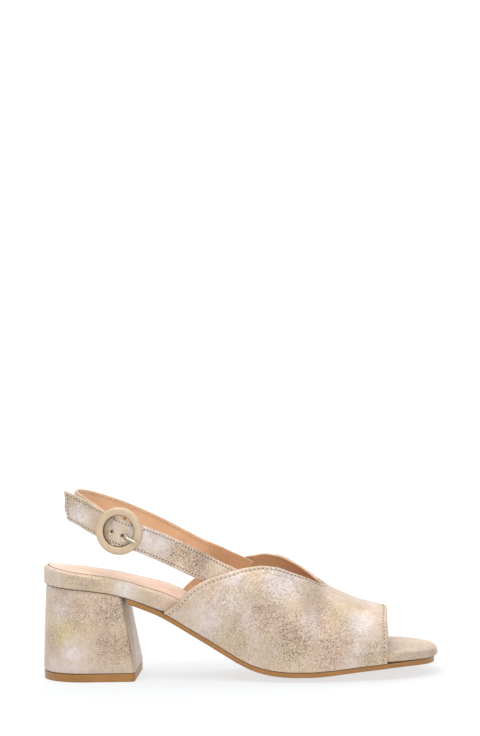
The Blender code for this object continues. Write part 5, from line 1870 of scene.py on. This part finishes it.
# Strength of the room's light on the shoe, and as the camera sees it
ROOM_LIGHT = 0.52
ROOM_SEEN = 1.1
CAMERA_DISTANCE = 1.5
CAMERA_ELEVATION = 7.3
CAMERA_AZIMUTH = 2.0
CAMERA_ROLL = 1.2
CAMERA_TARGET = (0.0007, 0.0, 0.0493)
METRES_PER_PIXEL = 0.0006013
PHOTO_HEIGHT = 736
SUBJECT_ROW = 592
SENSOR = 36.0
CAMERA_CLIP = (0.05, 30)


def build_camera():
    """Pinhole camera at the photo's own angle, aimed above the shoe, which stands low in the picture."""
    e, a, r = (math.radians(v) for v in (CAMERA_ELEVATION, CAMERA_AZIMUTH, CAMERA_ROLL))
    back = Vector((math.sin(a) * math.cos(e), -math.cos(a) * math.cos(e), math.sin(e)))
    right = Vector((0, 0, 1)).cross(back).normalized()
    up = back.cross(right)
    rolled_right = right * math.cos(r) - up * math.sin(r)
    rolled_up = right * math.sin(r) + up * math.cos(r)
    rows_up = SUBJECT_ROW - PHOTO_HEIGHT / 2
    # Off its axis a pinhole stretches by 1/cos across the picture and by its square along it. The scale
    # was measured at the shoe, so the focal length is taken down by the mean of both
    focal = CAMERA_DISTANCE / METRES_PER_PIXEL
    focal *= math.cos(math.atan(rows_up / focal)) ** 1.5
    lift = math.atan(rows_up / focal)
    aim_back = back * math.cos(lift) - rolled_up * math.sin(lift)
    aim_up = rolled_up * math.cos(lift) + back * math.sin(lift)
    data = bpy.data.cameras.new("photo_camera")
    data.sensor_width = SENSOR
    data.lens = focal * SENSOR / PHOTO_HEIGHT
    data.clip_start, data.clip_end = CAMERA_CLIP
    camera = shown("photo_camera", data)
    turn = Matrix((rolled_right, aim_up, aim_back)).transposed().to_4x4()
    camera.matrix_world = Matrix.Translation(Vector(CAMERA_TARGET) + back * CAMERA_DISTANCE) @ turn
    bpy.context.scene.camera = camera


def area_light(name, place, aim, size, power, colour):
    """A rectangular softbox turned to a place."""
    data = bpy.data.lights.new(name, "AREA")
    data.shape = "RECTANGLE"
    data.size, data.size_y = size
    data.energy = power
    data.color = colour
    light = shown(name, data)
    light.location = place
    light.rotation_euler = (Vector(aim) - Vector(place)).to_track_quat("-Z", "Y").to_euler()


# The sweep in its own (back, up) plane: its front, where it starts to rise, its bend and its height,
# and half its width
SWEEP_FRONT = -3.0
SWEEP_BEND_AT = 1.2
SWEEP_BEND = 0.8
SWEEP_HEIGHT = 4.0
SWEEP_HALF_WIDTH = 4.0
SWEEP_STEPS = 12
ROOM_COLOUR = (1.0, 0.995, 0.99, 1)
LIGHT_AIM = (0.0, 0.0, 0.05)
# Softboxes: name, place, size, watts and colour
SOFTBOXES = (
    ("key_softbox", (-0.35, -0.55, 1.5), (1.4, 0.9), 18, (1.0, 0.99, 0.98)),
    ("back_softbox", (0.1, 0.8, 1.4), (1.6, 0.9), 9, (1.0, 0.99, 0.98)),
    ("front_fill", (0.3, -1.6, 0.6), (1.4, 0.8), 7, (1.0, 0.99, 0.97)),
)


def build_stage():
    """Seamless paper sweep that glows with painted light, a large soft key overhead and two fills."""
    scene = bpy.context.scene
    scene.view_settings.view_transform = "Standard"
    world = bpy.data.worlds.new("studio_light")
    world.use_nodes = True
    sky = world.node_tree.nodes["Background"]
    sky.inputs["Color"].default_value = ROOM_COLOUR
    seen = node(world.node_tree, "ShaderNodeLightPath").outputs["Is Camera Ray"]
    strength = window(world.node_tree, seen, 0.0, 1.0, ROOM_LIGHT, ROOM_SEEN)
    world.node_tree.links.new(strength, sky.inputs["Strength"])
    scene.world = world
    profile = [(SWEEP_FRONT, 0.0), (SWEEP_BEND_AT, 0.0)]
    for k in range(1, SWEEP_STEPS + 1):
        angle = math.pi / 2 * k / SWEEP_STEPS
        rise = SWEEP_BEND - SWEEP_BEND * math.cos(angle)
        profile.append((SWEEP_BEND_AT + SWEEP_BEND * math.sin(angle), rise))
    profile.append((SWEEP_BEND_AT + SWEEP_BEND, SWEEP_HEIGHT))
    bm = bmesh.new()
    sides = (-SWEEP_HALF_WIDTH, SWEEP_HALF_WIDTH)
    left, right = ([bm.verts.new((x, y, z)) for y, z in profile] for x in sides)
    for i in range(len(profile) - 1):
        bm.faces.new((left[i], right[i], right[i + 1], left[i + 1]))
    floor = mesh_piece("studio_sweep", bm, ["studio_paper"], 80)
    for name, place, *box in SOFTBOXES:
        area_light(name, place, LIGHT_AIM, *box)


# The add-on: an operator for each piece or group of like pieces, and one for the stage


class DressVamp(bpy.types.Operator):
    """Creased vamp leather, its calf lining, its stitch rows and the painted shade at its lower corners"""

    bl_idname = "sandal.vamp"
    bl_label = "Vamp"

    def execute(self, context):
        build_vamp()
        build_corner_gap_shade()
        return {"FINISHED"}


class DressSling(bpy.types.Operator):
    """Sling strap round the heel, lined and sewn along both edges"""

    bl_idname = "sandal.sling"
    bl_label = "Sling strap"

    def execute(self, context):
        build_sling()
        return {"FINISHED"}


class DressBuckleStrap(bpy.types.Operator):
    """Buckle strap with punched holes and a wavy cut end"""

    bl_idname = "sandal.buckle_strap"
    bl_label = "Buckle strap"

    def execute(self, context):
        build_buckle_strap()
        return {"FINISHED"}


class DressBuckle(bpy.types.Operator):
    """Ring with its bar and the prong laid on the rim"""

    bl_idname = "sandal.buckle"
    bl_label = "Buckle"

    def execute(self, context):
        build_buckle()
        build_prong()
        return {"FINISHED"}


class DressFootbed(bpy.types.Operator):
    """Wrapped footbed and the sock laid on it"""

    bl_idname = "sandal.footbed"
    bl_label = "Footbed and sock"

    def execute(self, context):
        build_footbed()
        build_sock()
        return {"FINISHED"}


class DressSole(bpy.types.Operator):
    """Leather sole with its waxed edge"""

    bl_idname = "sandal.sole"
    bl_label = "Sole"

    def execute(self, context):
        build_outsole()
        return {"FINISHED"}


class DressHeel(bpy.types.Operator):
    """Covered block heel, painted shade along its seams, and its walking tip"""

    bl_idname = "sandal.heel"
    bl_label = "Heel"

    def execute(self, context):
        build_heel()
        build_heel_tip()
        return {"FINISHED"}


class SetStage(bpy.types.Operator):
    """Paper sweep, soft lights and the camera"""

    bl_idname = "sandal.stage"
    bl_label = "Stage"

    def execute(self, context):
        build_stage()
        build_camera()
        return {"FINISHED"}


OPERATORS = (
    DressVamp, DressSling, DressBuckleStrap, DressBuckle, DressFootbed, DressSole, DressHeel, SetStage,
)


class SandalPanel(bpy.types.Panel):
    """Sizes, colours and the operators that dress the sandal"""

    bl_idname = "VIEW3D_PT_sandal"
    bl_label = "Sandal"
    bl_space_type = "VIEW_3D"
    bl_region_type = "UI"
    bl_category = "Sandal"

    def draw(self, context):
        for kind in OPERATORS:
            self.layout.operator(kind.bl_idname)
        for group in (context.scene.sandal_sizes, context.scene.sandal_colours):
            column = self.layout.column()
            for name in group.__annotations__:
                column.prop(group, name)


CLASSES = (SandalSizes, SandalColours, *OPERATORS, SandalPanel)


def register():
    for kind in CLASSES:
        bpy.utils.register_class(kind)
    bpy.types.Scene.sandal_sizes = PointerProperty(type=SandalSizes)
    bpy.types.Scene.sandal_colours = PointerProperty(type=SandalColours)


def unregister():
    del bpy.types.Scene.sandal_colours
    del bpy.types.Scene.sandal_sizes
    for kind in reversed(CLASSES):
        bpy.utils.unregister_class(kind)


def main():
    register()
    finishes()
    for kind in OPERATORS:
        group, name = kind.bl_idname.split(".")
        getattr(getattr(bpy.ops, group), name)()


if __name__ == "__main__":
    main()
